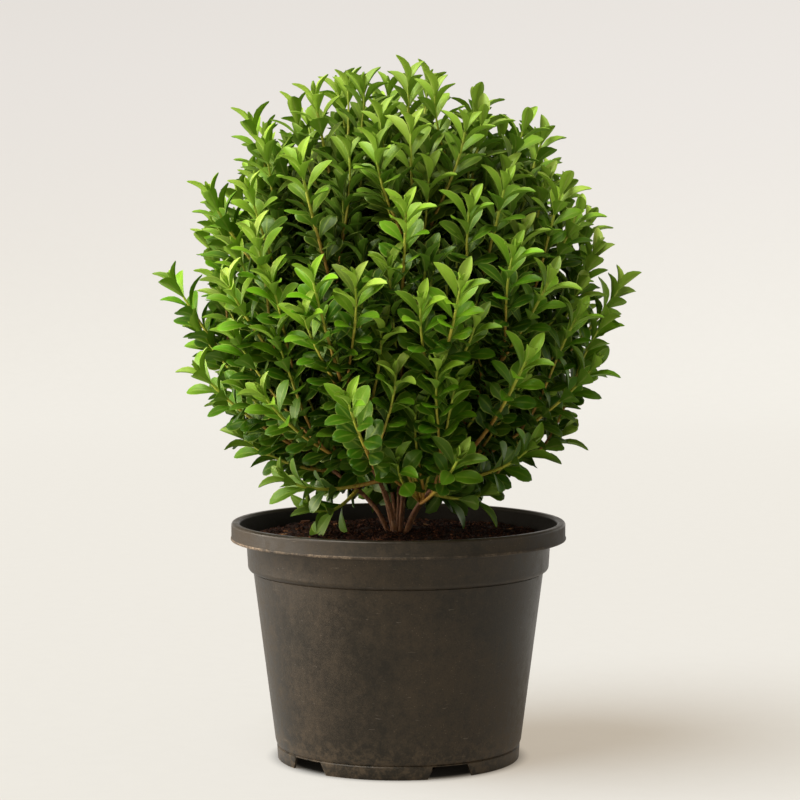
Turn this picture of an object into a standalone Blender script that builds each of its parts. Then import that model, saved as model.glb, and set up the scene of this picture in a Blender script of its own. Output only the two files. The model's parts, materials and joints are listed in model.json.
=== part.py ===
"""Potted boxwood: a round crown of leafy shoots on woody stems, rooted in soil in a moulded nursery pot.

Metres, +Z up, the front towards -Y. The origin is on the pot's axis, on the surface that its feet stand on.
Azimuths turn from the front towards +X, and elevations rise from level, both in degrees.
"""

import math

import bmesh
import bpy
from mathutils import Vector
from mathutils.bvhtree import BVHTree
from mathutils.geometry import interpolate_bezier

GAP = 0.0003  # left between pieces that touch
SIDES = 48  # flats round a turned piece

# Pot
POT_HEIGHT = 0.160
WALL = 0.0018
RIM_RADIUS = 0.1125
RIM_HEIGHT = 0.012
RIM_ROUND = 0.003
RIM_LIP = 0.0010  # the worn edge along the rim's bottom
CREST_WIDTH = 0.0052
CREST_ROUND = 0.0022  # on its inner side
FLARE_HEIGHT = 0.0110  # over which the wall leans out to the crest
COLLAR_TOP_RADIUS = 0.1024
COLLAR_BOTTOM_RADIUS = 0.1014
COLLAR_HEIGHT = 0.021
COLLAR_ROUND = 0.0036
BODY_BOTTOM_RADIUS = 0.0832
BODY_TUCK = 0.003  # height over which the body turns in to the foot
FOOT_RADIUS = 0.0822
FOOT_HEIGHT = 0.010
FOOT_GROOVE = 0.0008
FOOT_DRAFT = 0.0006
FOOT_WALL = 0.0024
FLOOR_UNDERSIDE = 0.0075
FLOOR_THICKNESS = 0.0020
NOTCH_COUNT = 5
NOTCH_AZIMUTH = 25
NOTCH_HEIGHT = 0.0083
NOTCH_BOTTOM_WIDTH = 0.034
NOTCH_TOP_WIDTH = 0.024
CUT_PAST = 0.002  # how far a cutter runs past what it cuts
DRAIN_RADIUS = 0.005
DRAIN_RING_RADIUS = 0.052
DRAIN_SIDES = 16

# Soil and the woody crown of the roots
SOIL_EDGE_DEPTH = 0.010  # below the pot's crest
SOIL_DOME = 0.005
ROOT_RADIUS = 0.0125
ROOT_SHAPE = ((0.75, 0), (1, 0.003), (0.92, 0.010), (0.55, 0.026))  # share of the radius, depth

# Stems: rings of (azimuths, radius of the ring at the soil, tilt from upright, length, stem radius)
STEM_RINGS = (
    ((30,), 0.0, 3, 0.125, 0.0022),
    ((15, 155, 300), 0.0050, 22, 0.115, 0.0020),
    ((-18, 45, 120, 190, 262), 0.0088, 46, 0.075, 0.0025),
)
STEM_TAPER = 0.72  # top radius over bottom radius
STEM_START_TILT = 0.45  # how much of its tilt a stem has where it leaves the roots
STEM_STEPS = 8

# Crown: a ball that the shoots' tips reach
CROWN_CENTRE = Vector((0, 0, 0.319))
CROWN_RADIUS = 0.1525
TIP_SWELL = 0.012  # how far in or out the tips vary
FRONT_TIPS = (  # azimuth and elevation of the tips that give the front its outline
    (20, 82), (-50, 62), (45, 57), (-85, 50), (5, 50), (85, 48),
    (-30, 36), (35, 33), (2, 25), (-68, 28), (66, 25),
    (-90, 5), (-50, 6), (-22, 8), (15, 6), (44, 8), (90, 4),
    (-70, -17), (-42, -22), (-13, -21), (37, -12), (66, -15), (20, -38),
    (-84, -38), (-48, -46), (52, -38), (84, -36), (-66, -62), (66, -60),
)
FILL_POINTS = 62  # spread evenly over the ball for the rest of it
FILL_LOWEST = -62
FILL_SPACING = 24  # least angle from a fill tip to any other

# Shoots
SHOOT_LIFT = 0.75  # how much a shoot turns up at its tip
SHOOT_FROM = 0.40  # of the way to its tip, at most, a side shoot follows its stem
SHOOT_APART = 0.007  # between side shoots along a stem, and from the stem's end
LEADER_HANDLE, SIDE_HANDLE, TIP_HANDLE = 0.35, 0.16, 0.30  # of a shoot's length
SHOOT_BASE_RADIUS = 0.0013
SHOOT_TIP_RADIUS = 0.0007
BUD_LENGTH = 0.018
BUD_RADIUS = 0.0015
PAIR_SPACING = 0.022
PAIR_PAD = 0.0012  # half the height of twig that a pair of leaves grows from
LEAFY_SHARE = 0.68  # of a shoot's length, from its tip
MOST_PAIRS = 7
YOUNG_LEAF = 0.0135
GROWN_LEAF = 0.0240
PAIRS_TO_GROWN = 3
LEAF_WIDTH = 0.48  # of its length
YOUNG_WIDTH = 0.75  # of a grown leaf's share of its length
LEAF_THICKNESS = 0.0008
LEAF_SECTIONS = ((0.32, 0.80, 1.4), (0.68, 1.0, 1.0))  # share along, of the width, of the thickness
YOUNG_RISE, GROWN_RISE = 64, 30  # above square to the twig
YOUNG_DROOP, GROWN_DROOP = 14, 40  # how much lower each next stretch of the leaf points
CLOSE = 0.045  # two pieces whose corners are farther apart than this can't touch

MATERIALS = {
    "weathered_pot_plastic": ((0.052, 0.046, 0.040), 0.62),
    "potting_soil": ((0.030, 0.014, 0.009), 0.95),
    "woody_bark": ((0.150, 0.080, 0.040), 0.80),
    "leaf_and_twig": ((0.075, 0.210, 0.018), 0.45),
}


def clear_scene():
    for old in list(bpy.data.objects):
        bpy.data.objects.remove(old)


def make_materials():
    made = {}
    for name, (colour, roughness) in MATERIALS.items():
        material = bpy.data.materials.new(name)
        material.use_nodes = True
        shader = material.node_tree.nodes["Principled BSDF"]
        shader.inputs["Base Color"].default_value = (*colour, 1)
        shader.inputs["Roughness"].default_value = roughness
        shader.inputs["Metallic"].default_value = 0
        made[name] = material
    return made


def new_collection(name):
    collection = bpy.data.collections.new(name)
    bpy.context.scene.collection.children.link(collection)
    return collection


def heading(azimuth, elevation):
    turn = math.radians(azimuth)
    rise = math.radians(elevation)
    level = math.cos(rise)
    return Vector((math.sin(turn) * level, -math.cos(turn) * level, math.sin(rise)))


def add_object(name, mesh, collection, material=None):
    obj = bpy.data.objects.new(name, mesh)
    collection.objects.link(obj)
    if material:
        mesh.materials.append(material)
    return obj


def mesh_from(bm, name):
    mesh = bpy.data.meshes.new(name)
    bm.to_mesh(mesh)
    bm.free()
    return mesh


# Turned pieces


def arc(centre_r, centre_z, radius, start, end, steps=3):
    """Points (r, z) on an arc, whose angles are counted up from +r, in degrees."""
    angles = [math.radians(start + (end - start) * i / steps) for i in range(steps + 1)]
    return [(centre_r + radius * math.cos(a), centre_z + radius * math.sin(a)) for a in angles]


def turned(name, profile, collection, material):
    """A solid of revolution. Its profile of (r, z) runs from the axis, down the outer side, to the axis."""
    bm = bmesh.new()
    corners = [bm.verts.new((r, 0, z)) for r, z in profile]
    for first, second in zip(corners, corners[1:]):
        bm.edges.new((first, second))
    obj = add_object(name, mesh_from(bm, name), collection, material)
    screw = obj.modifiers.new("turn", "SCREW")
    screw.axis = "Z"
    screw.steps = SIDES
    screw.render_steps = SIDES
    screw.use_smooth_shade = False
    screw.use_merge_vertices = True
    screw.merge_threshold = 0.00001
    return obj


def cut(obj, cutter, label):
    cutter.hide_render = True
    cutter.display_type = "WIRE"
    boolean = obj.modifiers.new(label, "BOOLEAN")
    boolean.operation = "DIFFERENCE"
    boolean.object = cutter


NECK_RADIUS = COLLAR_TOP_RADIUS - WALL
FLARE_BOTTOM = POT_HEIGHT - FLARE_HEIGHT
RIM_BOTTOM = POT_HEIGHT - RIM_HEIGHT
LEDGE_HEIGHT = RIM_BOTTOM - COLLAR_HEIGHT
BODY_TOP_RADIUS = COLLAR_BOTTOM_RADIUS - COLLAR_ROUND
FLOOR_TOP = FLOOR_UNDERSIDE + FLOOR_THICKNESS


def pot_inside():
    """The inner wall from the floor up to where it flares out to the crest, as (r, z)."""
    return [
        (BODY_BOTTOM_RADIUS - WALL, FLOOR_TOP),
        (BODY_TOP_RADIUS - WALL, LEDGE_HEIGHT - WALL),
        (COLLAR_BOTTOM_RADIUS - WALL, LEDGE_HEIGHT + WALL),
        (NECK_RADIUS, FLARE_BOTTOM),
    ]


def make_pot(collection, cutters, material):
    under_crest = POT_HEIGHT - 2 * WALL
    skirt_inner = RIM_RADIUS - WALL
    flare_top = RIM_RADIUS - CREST_WIDTH
    crest_middle = flare_top + CREST_ROUND
    profile = [(0, FLOOR_TOP)] + pot_inside()
    profile += arc(crest_middle, POT_HEIGHT - CREST_ROUND, CREST_ROUND, 150, 90)
    profile += arc(RIM_RADIUS - RIM_ROUND, POT_HEIGHT - RIM_ROUND, RIM_ROUND, 90, 0)
    profile += [(RIM_RADIUS, RIM_BOTTOM + RIM_LIP), (RIM_RADIUS - RIM_LIP / 2, RIM_BOTTOM)]
    profile += [(skirt_inner, RIM_BOTTOM), (skirt_inner, under_crest - WALL)]
    profile += [(skirt_inner - WALL / 2, under_crest), (flare_top, under_crest)]
    profile += [(COLLAR_TOP_RADIUS, FLARE_BOTTOM - WALL)]
    profile += arc(BODY_TOP_RADIUS, LEDGE_HEIGHT + COLLAR_ROUND, COLLAR_ROUND, 0, -90)
    profile += [(BODY_BOTTOM_RADIUS, FOOT_HEIGHT + BODY_TUCK), (FOOT_RADIUS, FOOT_HEIGHT)]
    profile += [(FOOT_RADIUS - FOOT_GROOVE, FOOT_HEIGHT - FOOT_GROOVE)]
    profile += [(FOOT_RADIUS, FOOT_HEIGHT - 2 * FOOT_GROOVE), (FOOT_RADIUS - FOOT_DRAFT, 0)]
    profile += [(FOOT_RADIUS - FOOT_WALL, 0), (FOOT_RADIUS - FOOT_WALL, FLOOR_UNDERSIDE)]
    profile += [(0, FLOOR_UNDERSIDE)]
    pot = turned("nursery_pot", profile, collection, material)
    cut(pot, notch_cutter(cutters), "foot notches")
    cut(pot, drain_cutter(cutters), "drain holes")
    return pot


def notch_cutter(cutters):
    """Five wedges that open the foot ring, narrower at the top."""
    bm = bmesh.new()
    reach = FOOT_WALL + 2 * CUT_PAST
    for i in range(NOTCH_COUNT):
        out = heading(NOTCH_AZIMUTH + i * 360 / NOTCH_COUNT, 0)
        across = out.cross(Vector((0, 0, 1)))
        corners = bmesh.ops.create_cube(bm, size=2)["verts"]
        for corner in corners:
            width = NOTCH_TOP_WIDTH if corner.co.z > 0 else NOTCH_BOTTOM_WIDTH
            height = NOTCH_HEIGHT if corner.co.z > 0 else -CUT_PAST
            radius = FOOT_RADIUS - FOOT_WALL / 2 + corner.co.y * reach / 2
            corner.co = out * radius + across * (corner.co.x * width / 2) + Vector((0, 0, height))
    return add_object("foot_notch_cutter", mesh_from(bm, "foot_notch_cutter"), cutters)


def drain_cutter(cutters):
    """One hole in the middle of the floor and a ring of five, between the notches."""
    bm = bmesh.new()
    spots = [Vector((0, 0, 0))]
    for i in range(NOTCH_COUNT):
        spots.append(heading(NOTCH_AZIMUTH + (i + 0.5) * 360 / NOTCH_COUNT, 0) * DRAIN_RING_RADIUS)
    for spot in spots:
        hole = bmesh.ops.create_cone(
            bm,
            cap_ends=True,
            segments=DRAIN_SIDES,
            radius1=DRAIN_RADIUS,
            radius2=DRAIN_RADIUS,
            depth=FLOOR_THICKNESS + 2 * CUT_PAST,
        )
        middle = spot + Vector((0, 0, FLOOR_UNDERSIDE + FLOOR_THICKNESS / 2))
        bmesh.ops.translate(bm, verts=hole["verts"], vec=middle)
    return add_object("drain_hole_cutter", mesh_from(bm, "drain_hole_cutter"), cutters)


SOIL_EDGE = POT_HEIGHT - SOIL_EDGE_DEPTH
SOIL_RADIUS = NECK_RADIUS - GAP


def soil_height(radius):
    return SOIL_EDGE + SOIL_DOME * (1 - (radius / SOIL_RADIUS) ** 2)


ROOT_TOP = soil_height(0)


def root_profile(grow):
    """The root crown's outline as (r, z), down its outer side, grown for the well that holds it."""
    outline = [((ROOT_RADIUS + grow) * share, ROOT_TOP - depth) for share, depth in ROOT_SHAPE]
    foot_radius, foot_height = outline.pop()
    return outline + [(foot_radius, foot_height - grow)]


def make_soil(collection, material):
    """Soil that fills the pot to below its rim, domed, with a well in the middle for the root crown."""
    well = root_profile(GAP)[:0:-1]
    top = [(r, soil_height(r)) for r in (ROOT_RADIUS + GAP, 0.035, 0.060, 0.085, SOIL_RADIUS)]
    sides = [(r - GAP, z) for r, z in pot_inside()[:-1]]
    sides[0] = (sides[0][0], FLOOR_TOP + GAP)
    profile = [(0, well[0][1])] + well + top + sides[::-1] + [(0, FLOOR_TOP + GAP)]
    return turned("potting_soil", profile, collection, material)


def make_root_crown(collection, material):
    outline = root_profile(0)
    profile = [(0, ROOT_TOP)] + outline + [(0, outline[-1][1])]
    return turned("root_crown", profile, collection, material)


# Stems and shoots


class Path:
    """A smooth run of points along a cubic curve, read by the distance from its start."""

    def __init__(self, start, start_handle, end_handle, end):
        self.points = interpolate_bezier(start, start_handle, end_handle, end, 65)
        steps = [(b - a).length for a, b in zip(self.points, self.points[1:])]
        self.distances = [sum(steps[:i]) for i in range(len(self.points))]
        self.length = self.distances[-1]

    def at(self, distance):
        """The point and the direction at a distance."""
        i = 0
        while i < len(self.points) - 2 and self.distances[i + 1] < distance:
            i += 1
        along = self.points[i + 1] - self.points[i]
        share = (distance - self.distances[i]) / along.length
        return self.points[i] + along * share, along.normalized()


def tube(name, points, radii, sides, collection, material):
    """A closed tube through the points, as a mesh object. Its sides are 4, 6 or 8."""
    curve = bpy.data.curves.new(name, "CURVE")
    curve.dimensions = "3D"
    curve.bevel_depth = 1
    curve.bevel_resolution = (sides - 4) // 2
    curve.use_fill_caps = True
    spline = curve.splines.new("POLY")
    spline.points.add(len(points) - 1)
    for slot, point, radius in zip(spline.points, points, radii):
        slot.co = (*point, 1)
        slot.radius = radius
    drawn = add_object(name + "_path", curve, collection)
    depsgraph = bpy.context.evaluated_depsgraph_get()
    mesh = bpy.data.meshes.new_from_object(drawn.evaluated_get(depsgraph))
    bpy.data.objects.remove(drawn)
    bm = bmesh.new()
    bm.from_mesh(mesh)
    bmesh.ops.remove_doubles(bm, verts=bm.verts, dist=0.00001)
    bm.to_mesh(mesh)
    bm.free()
    mesh.name = name
    return add_object(name, mesh, collection, material)


def make_stems(collection, material):
    """Woody stems, each as its object and its path."""
    stems = []
    for azimuths, ring_radius, tilt, length, radius in STEM_RINGS:
        for azimuth in azimuths:
            start_way = heading(azimuth, 90 - tilt * STEM_START_TILT)
            way = heading(azimuth, 90 - tilt)
            lift = GAP + radius * math.sin(math.radians(tilt * STEM_START_TILT))
            start = heading(azimuth, 0) * ring_radius + Vector((0, 0, ROOT_TOP + lift))
            end = start + way * length
            path = Path(start, start + start_way * length / 3, end - way * length / 3, end)
            shares = [i / STEM_STEPS for i in range(STEM_STEPS + 1)]
            spots = [path.at(path.length * share)[0] for share in shares]
            radii = [radius * (1 + (STEM_TAPER - 1) * share) for share in shares]
            name = f"woody_stem_{len(stems) + 1}"
            obj = tube(name, spots, radii, 8, collection, material)
            stems.append({"object": obj, "path": path, "radius": radius, "way": way})
    return stems


def crown_tips():
    """Where the shoots end: the chosen front tips, and evenly spread ones wherever the ball is still bare."""
    chosen = list(FRONT_TIPS)
    golden = 180 * (3 - math.sqrt(5))
    lowest = math.sin(math.radians(FILL_LOWEST))
    for i in range(FILL_POINTS):
        height = 1 - (1 - lowest) * (i + 0.5) / FILL_POINTS
        spot = (i * golden % 360, math.degrees(math.asin(height)))
        way = heading(*spot)
        near = max(way.dot(heading(*other)) for other in chosen)
        if near < math.cos(math.radians(FILL_SPACING)):
            chosen.append(spot)
    tips = []
    for i, spot in enumerate(chosen):
        swell = TIP_SWELL * math.sin(2.4 * i) / 2
        tips.append(CROWN_CENTRE + heading(*spot) * (CROWN_RADIUS + swell))
    return tips


def shoot_paths(stems, tips):
    """A path from a stem to each tip. The straightest shoot of a stem goes on from its end."""
    base = Vector((0, 0, ROOT_TOP))
    groups = [[] for stem in stems]
    for tip in tips:
        way = (tip - base).normalized()
        nearest = max(range(len(stems)), key=lambda s: way.dot(stems[s]["way"]))
        groups[nearest].append(tip)
    paths = []
    for stem, group in zip(stems, groups):
        group.sort(key=lambda tip: -(tip - base).normalized().dot(stem["way"]))
        end, end_way = stem["path"].at(stem["path"].length)
        taken = []
        for i, tip in enumerate(group):
            outward = (tip - CROWN_CENTRE).normalized()
            finish = (outward + Vector((0, 0, SHOOT_LIFT))).normalized()
            if i == 0:
                handle = LEADER_HANDLE
                leave = end_way
                start = end + end_way * GAP
            else:
                handle = SIDE_HANDLE
                wanted = min(SHOOT_FROM * (tip - base).length, stem["path"].length - SHOOT_APART)
                while any(abs(wanted - other) < SHOOT_APART for other in taken):
                    wanted -= SHOOT_APART / 2
                taken.append(wanted)
                spot, along = stem["path"].at(wanted)
                leave = tip - spot
                leave = (leave - along * leave.dot(along)).normalized()
                start = spot + leave * (stem["radius"] + GAP)
            reach = (tip - start).length
            bend = tip - finish * reach * TIP_HANDLE
            paths.append(Path(start, start + leave * reach * handle, bend, tip))
    return paths


def pair_spots(path):
    """Distances along a shoot at which it bears a pair of leaves, from the youngest down."""
    last = path.length - BUD_LENGTH
    count = min(MOST_PAIRS, int((path.length * LEAFY_SHARE - BUD_LENGTH) / PAIR_SPACING) + 1)
    return [last - i * PAIR_SPACING for i in range(count)]


def make_twig(name, path, collection, material):
    """A four-sided twig with a short flat at each pair of leaves, ending in a bud."""
    spots = [0, (path.length - BUD_LENGTH) * SIDE_HANDLE]
    for spot in reversed(pair_spots(path)):
        spots += [spot - PAIR_PAD, spot + PAIR_PAD]
    swollen = path.length - BUD_LENGTH / 2
    points = [path.at(spot)[0] for spot in spots + [swollen, path.length]]
    taper = (SHOOT_TIP_RADIUS - SHOOT_BASE_RADIUS) / path.length
    radii = [SHOOT_BASE_RADIUS + taper * spot for spot in spots] + [BUD_RADIUS, SHOOT_TIP_RADIUS / 3]
    return tube(name, points, radii, 4, collection, material)


def leaf_rings(corners, out, along, age, grow=0):
    """A leaf's cross-sections outwards from a face of the twig, and its tip.

    The face's corners give the order in which each cross-section lists its own.
    """
    root = sum(corners, Vector()) / len(corners)
    across = along.cross(out).normalized()
    length = YOUNG_LEAF + (GROWN_LEAF - YOUNG_LEAF) * age
    half_width = length * LEAF_WIDTH / 2 * (YOUNG_WIDTH + (1 - YOUNG_WIDTH) * age)
    rise = math.radians(YOUNG_RISE + (GROWN_RISE - YOUNG_RISE) * age)
    droop = math.radians(YOUNG_DROOP + (GROWN_DROOP - YOUNG_DROOP) * age)
    rings = []
    spot = root
    done = 0
    for share, width_share, thickness_share in LEAF_SECTIONS:
        way = along * math.sin(rise) + out * math.cos(rise)
        spot = spot + way * length * (share - done)
        normal = way.cross(across).normalized()
        if normal.dot(along) < 0:
            normal = -normal
        width = half_width * width_share + grow
        thickness = LEAF_THICKNESS * thickness_share / 2 + grow
        ring = []
        for corner in corners:
            side = math.copysign(width, (corner - root).dot(across))
            level = math.copysign(thickness, (corner - root).dot(along))
            ring.append(spot + across * side + normal * level)
        rings.append(ring)
        done = share
        rise -= droop
    way = along * math.sin(rise) + out * math.cos(rise)
    return rings, spot + way * (length * (1 - done) + grow)


def leaf_shape(rings, tip, owner):
    """A leaf's faces, without its root, in a form that can be tested against others."""
    points = [point for ring in rings for point in ring] + [tip]
    faces = []
    count = len(rings[0])
    for i in range(len(rings) - 1):
        for j in range(count):
            k = (j + 1) % count
            faces.append((i * count + j, i * count + k, (i + 1) * count + k, (i + 1) * count + j))
    last = (len(rings) - 1) * count
    faces += [(last + j, last + (j + 1) % count, len(points) - 1) for j in range(count)]
    faces.append(tuple(range(count)))
    return {"owner": owner, "tree": BVHTree.FromPolygons(points, faces), "points": points}


def clashes(leaf, other):
    """Whether a leaf cuts another piece. Pieces far from it are passed over."""
    middle = leaf["points"][0]
    near = any((point - middle).length < CLOSE for point in other["points"])
    return near and bool(leaf["tree"].overlap(other["tree"]))


def grow_leaves(obj, path, owner, others):
    """Extrudes pairs of leaves from a twig, each pair a quarter turn from the last, where there is room."""
    bm = bmesh.new()
    bm.from_mesh(obj.data)
    pairs = []
    fan = path.at(path.length)[1].cross(Vector((0, 0, 1))).normalized()
    for i, distance in enumerate(pair_spots(path)):
        spot, along = path.at(distance)
        around = sorted(bm.faces, key=lambda face: (face.calc_center_median() - spot).length)[:4]
        fan = (fan - along * fan.dot(along)).normalized()
        side = fan if i % 2 == 0 else along.cross(fan)
        around.sort(key=lambda face: -(face.calc_center_median() - spot).dot(side))
        pairs.append((i, along, (around[0], around[-1])))
    for i, along, faces in pairs:
        age = min(1, i / PAIRS_TO_GROWN)
        for face in faces:
            corners = [corner.co.copy() for corner in face.verts]
            out = face.normal.copy()
            roomy = leaf_shape(*leaf_rings(corners, out, along, age, GAP), owner)
            if i > 0 and any(clashes(roomy, other) for other in others if other["owner"] != owner):
                continue
            rings, tip = leaf_rings(corners, out, along, age)
            others.append(leaf_shape(rings, tip, owner))
            extrude_leaf(bm, face, corners, rings, tip)
    bm.to_mesh(obj.data)
    bm.free()


def extrude_leaf(bm, face, corners, rings, tip):
    for ring in rings:
        face = bmesh.ops.extrude_discrete_faces(bm, faces=[face])["faces"][0]
        for vertex in face.verts:
            corner = min(range(len(corners)), key=lambda c: (vertex.co - corners[c]).length)
            vertex.co = ring[corner]
        corners = ring
    point = bmesh.ops.poke(bm, faces=[face])["verts"][0]
    point.co = tip


def piece_shape(obj):
    """A stem's or a twig's faces, in the same form as a leaf's."""
    points = [vertex.co.copy() for vertex in obj.data.vertices]
    faces = [tuple(polygon.vertices) for polygon in obj.data.polygons]
    return {"owner": obj.name, "tree": BVHTree.FromPolygons(points, faces), "points": points}


def make_crown(collection, materials):
    stems = make_stems(collection, materials["woody_bark"])
    paths = shoot_paths(stems, crown_tips())
    others = []
    for stem in stems:
        others.append(piece_shape(stem["object"]))
    shoots = []
    for i, path in enumerate(paths):
        name = f"leafy_shoot_{i + 1:02d}"
        twig = make_twig(name, path, collection, materials["leaf_and_twig"])
        others.append(piece_shape(twig))
        shoots.append((twig, path))
    for twig, path in shoots:
        grow_leaves(twig, path, twig.name, others)


def main():
    clear_scene()
    materials = make_materials()
    plant = new_collection("potted_boxwood")
    cutters = new_collection("cutters")
    make_pot(plant, cutters, materials["weathered_pot_plastic"])
    make_soil(plant, materials["potting_soil"])
    make_root_crown(plant, materials["woody_bark"])
    make_crown(plant, materials)


main()
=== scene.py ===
"""A boxwood ball in a weathered nursery pot: the looks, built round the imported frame.

Metres, +Z up, the front towards -Y, the pot's axis on the origin. Azimuths turn from the front towards +X
and elevations rise from level, both in degrees.
"""

import json
import math
import random

import bmesh
import bpy
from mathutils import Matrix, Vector, noise
from mathutils.geometry import interpolate_bezier

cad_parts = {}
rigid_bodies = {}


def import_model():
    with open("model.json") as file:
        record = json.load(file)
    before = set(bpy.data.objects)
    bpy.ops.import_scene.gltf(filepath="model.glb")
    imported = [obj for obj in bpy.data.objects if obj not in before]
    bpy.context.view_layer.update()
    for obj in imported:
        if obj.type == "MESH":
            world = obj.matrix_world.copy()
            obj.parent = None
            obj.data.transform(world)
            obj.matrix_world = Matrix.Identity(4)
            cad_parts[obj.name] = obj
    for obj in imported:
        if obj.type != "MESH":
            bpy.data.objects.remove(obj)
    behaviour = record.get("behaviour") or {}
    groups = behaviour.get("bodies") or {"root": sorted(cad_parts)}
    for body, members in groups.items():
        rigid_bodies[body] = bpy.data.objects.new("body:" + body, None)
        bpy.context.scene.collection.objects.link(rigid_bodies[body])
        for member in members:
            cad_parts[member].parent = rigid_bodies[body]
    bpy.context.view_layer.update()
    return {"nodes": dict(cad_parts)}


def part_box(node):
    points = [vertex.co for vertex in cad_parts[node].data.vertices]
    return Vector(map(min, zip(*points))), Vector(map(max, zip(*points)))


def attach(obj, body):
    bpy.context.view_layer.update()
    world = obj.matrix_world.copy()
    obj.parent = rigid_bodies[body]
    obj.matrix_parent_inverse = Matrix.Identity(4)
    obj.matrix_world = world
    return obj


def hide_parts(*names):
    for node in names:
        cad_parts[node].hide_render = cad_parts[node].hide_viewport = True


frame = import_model()
POT_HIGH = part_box("nursery_pot")[1]
ROOT_LOW, ROOT_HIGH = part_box("root_crown")

# Pot: the moulding's own sizes, as in the frame's pot
POT_HEIGHT = POT_HIGH.z
RIM_RADIUS = POT_HIGH.x
WALL = 0.0018
RIM_HEIGHT = 0.012
RIM_ROUND = 0.0018
RIM_LIP = 0.0011
CREST_WIDTH = 0.0052
CREST_ROUND = 0.0014
BEAD_HEIGHT = 0.0023  # the rounded lip along the rim's lower edge
BEAD_PROUD = 0.0005
BEAD_CURVE = ((0.85, 0.35), (0.62, 0.9), (0.38, 1.0), (0.15, 0.55))  # shares of its height and proudness
FLARE_HEIGHT = 0.0110
COLLAR_TOP_RADIUS = RIM_RADIUS - 0.0101
COLLAR_BOTTOM_RADIUS = COLLAR_TOP_RADIUS - 0.001
COLLAR_HEIGHT = 0.021
COLLAR_ROUND = 0.0036
LEDGE_GROOVE = 0.0005
BODY_BOTTOM_RADIUS = 0.0832
BODY_TUCK = 0.003
FOOT_RADIUS = 0.0822
FOOT_HEIGHT = 0.010
FOOT_GROOVE = 0.0008
FOOT_DRAFT = 0.0006
FOOT_WALL = 0.0024
FLOOR_UNDERSIDE = 0.0075
FLOOR_THICKNESS = 0.0020
NOTCH_COUNT = 5
NOTCH_AZIMUTH = 25
NOTCH_HEIGHT = 0.0083
NOTCH_BOTTOM_WIDTH = 0.034
NOTCH_TOP_WIDTH = 0.024
NOTCH_EDGE = 0.0005  # the worn bevel round a notch
NOTCH_SHARP = 55  # degrees; a notch's edges that are sharper than this get worn
CUT_PAST = 0.002
SLACK = 0.0002
DRAIN_RADIUS = 0.005
DRAIN_RING_RADIUS = 0.052
POT_SIDES = 160

NECK_RADIUS = COLLAR_TOP_RADIUS - WALL
FLARE_BOTTOM = POT_HEIGHT - FLARE_HEIGHT
RIM_BOTTOM = POT_HEIGHT - RIM_HEIGHT
LEDGE_HEIGHT = RIM_BOTTOM - COLLAR_HEIGHT
BODY_TOP_RADIUS = COLLAR_BOTTOM_RADIUS - COLLAR_ROUND
FLOOR_TOP = FLOOR_UNDERSIDE + FLOOR_THICKNESS

# Soil
SOIL_EDGE = POT_HEIGHT - 0.010
SOIL_DOME = 0.004
SOIL_GAP = 0.0004
SOIL_RADIUS = NECK_RADIUS - SOIL_GAP
SOIL_BOTTOM = FLOOR_TOP + 0.0003
SOIL_RINGS = 56
SOIL_SIDES = 144
SOIL_TONE = 0.22  # of the bed itself, between the darkest crumb's 0 and the palest one's 1
CRUMB_SIZES = ((0.0011, 0.0009, 0.0007), (0.0014, 0.0008, 0.0007), (0.0009, 0.0009, 0.0008))
CHIP_SIZES = ((0.0042, 0.0022, 0.0007), (0.0034, 0.0026, 0.0009), (0.0058, 0.0017, 0.0008))
FIBRE_COUNT = 5
FIBRE_LENGTH = 0.014
FIBRE_RADIUS = 0.00022

# Wood
RING_CORNERS = 8  # of a CAD stem
STEM_SIDES = 12
STEM_SHARE = 0.66  # of the CAD stem's radius, which is that of the stem with its knots
KNOT_SHARE = 0.12
ROOT_DEPTH = 0.010  # from the root crown's top to its middle
ROOT_SHARE = 0.86  # of the CAD root crown's radius, before its lumps

# Crown
CROWN_CENTRE = Vector((0, 0, 0.319))
CROWN_RADIUS = 0.1525
ROOT_POINT = Vector((0, 0, ROOT_HIGH.z))
YOUNG_REACH = 0.016  # how far the youngest leaves reach past their twig's end


def heading(azimuth, elevation):
    """The unit vector that an azimuth and an elevation point along."""
    turn = math.radians(azimuth)
    rise = math.radians(elevation)
    level = math.cos(rise)
    return Vector((math.sin(turn) * level, -math.cos(turn) * level, math.sin(rise)))


# Node trees


def pick(sockets, key):
    """A node's socket by its number, or by the name it shows with the node's present settings."""
    if isinstance(key, int):
        return sockets[key]
    named = [socket for socket in sockets if socket.name == key and socket.enabled]
    return named[0] if named else sockets[key]


def operator(operation, swapped=False):
    """A method that adds one Math node, which takes the reading and another number."""

    def apply(self, other):
        values = (other, self) if swapped else (self, other)
        return self.graph.maths(operation, *values)

    return apply


class Reading:
    """What a node's socket gives. Arithmetic on a number adds Math nodes."""

    def __init__(self, graph, socket):
        self.graph = graph
        self.socket = socket

    __add__ = __radd__ = operator("ADD")
    __mul__ = __rmul__ = operator("MULTIPLY")
    __sub__ = operator("SUBTRACT")
    __rsub__ = operator("SUBTRACT", swapped=True)
    __truediv__ = operator("DIVIDE")
    __pow__ = operator("POWER")
    __gt__ = operator("GREATER_THAN")

    def __abs__(self):
        return self.graph.maths("ABSOLUTE", self)


class Made:
    """A node that was just added, whose outputs are read by name or number."""

    def __init__(self, graph, node):
        self.graph = graph
        self.node = node

    def __getitem__(self, key):
        return Reading(self.graph, pick(self.node.outputs, key))


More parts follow.
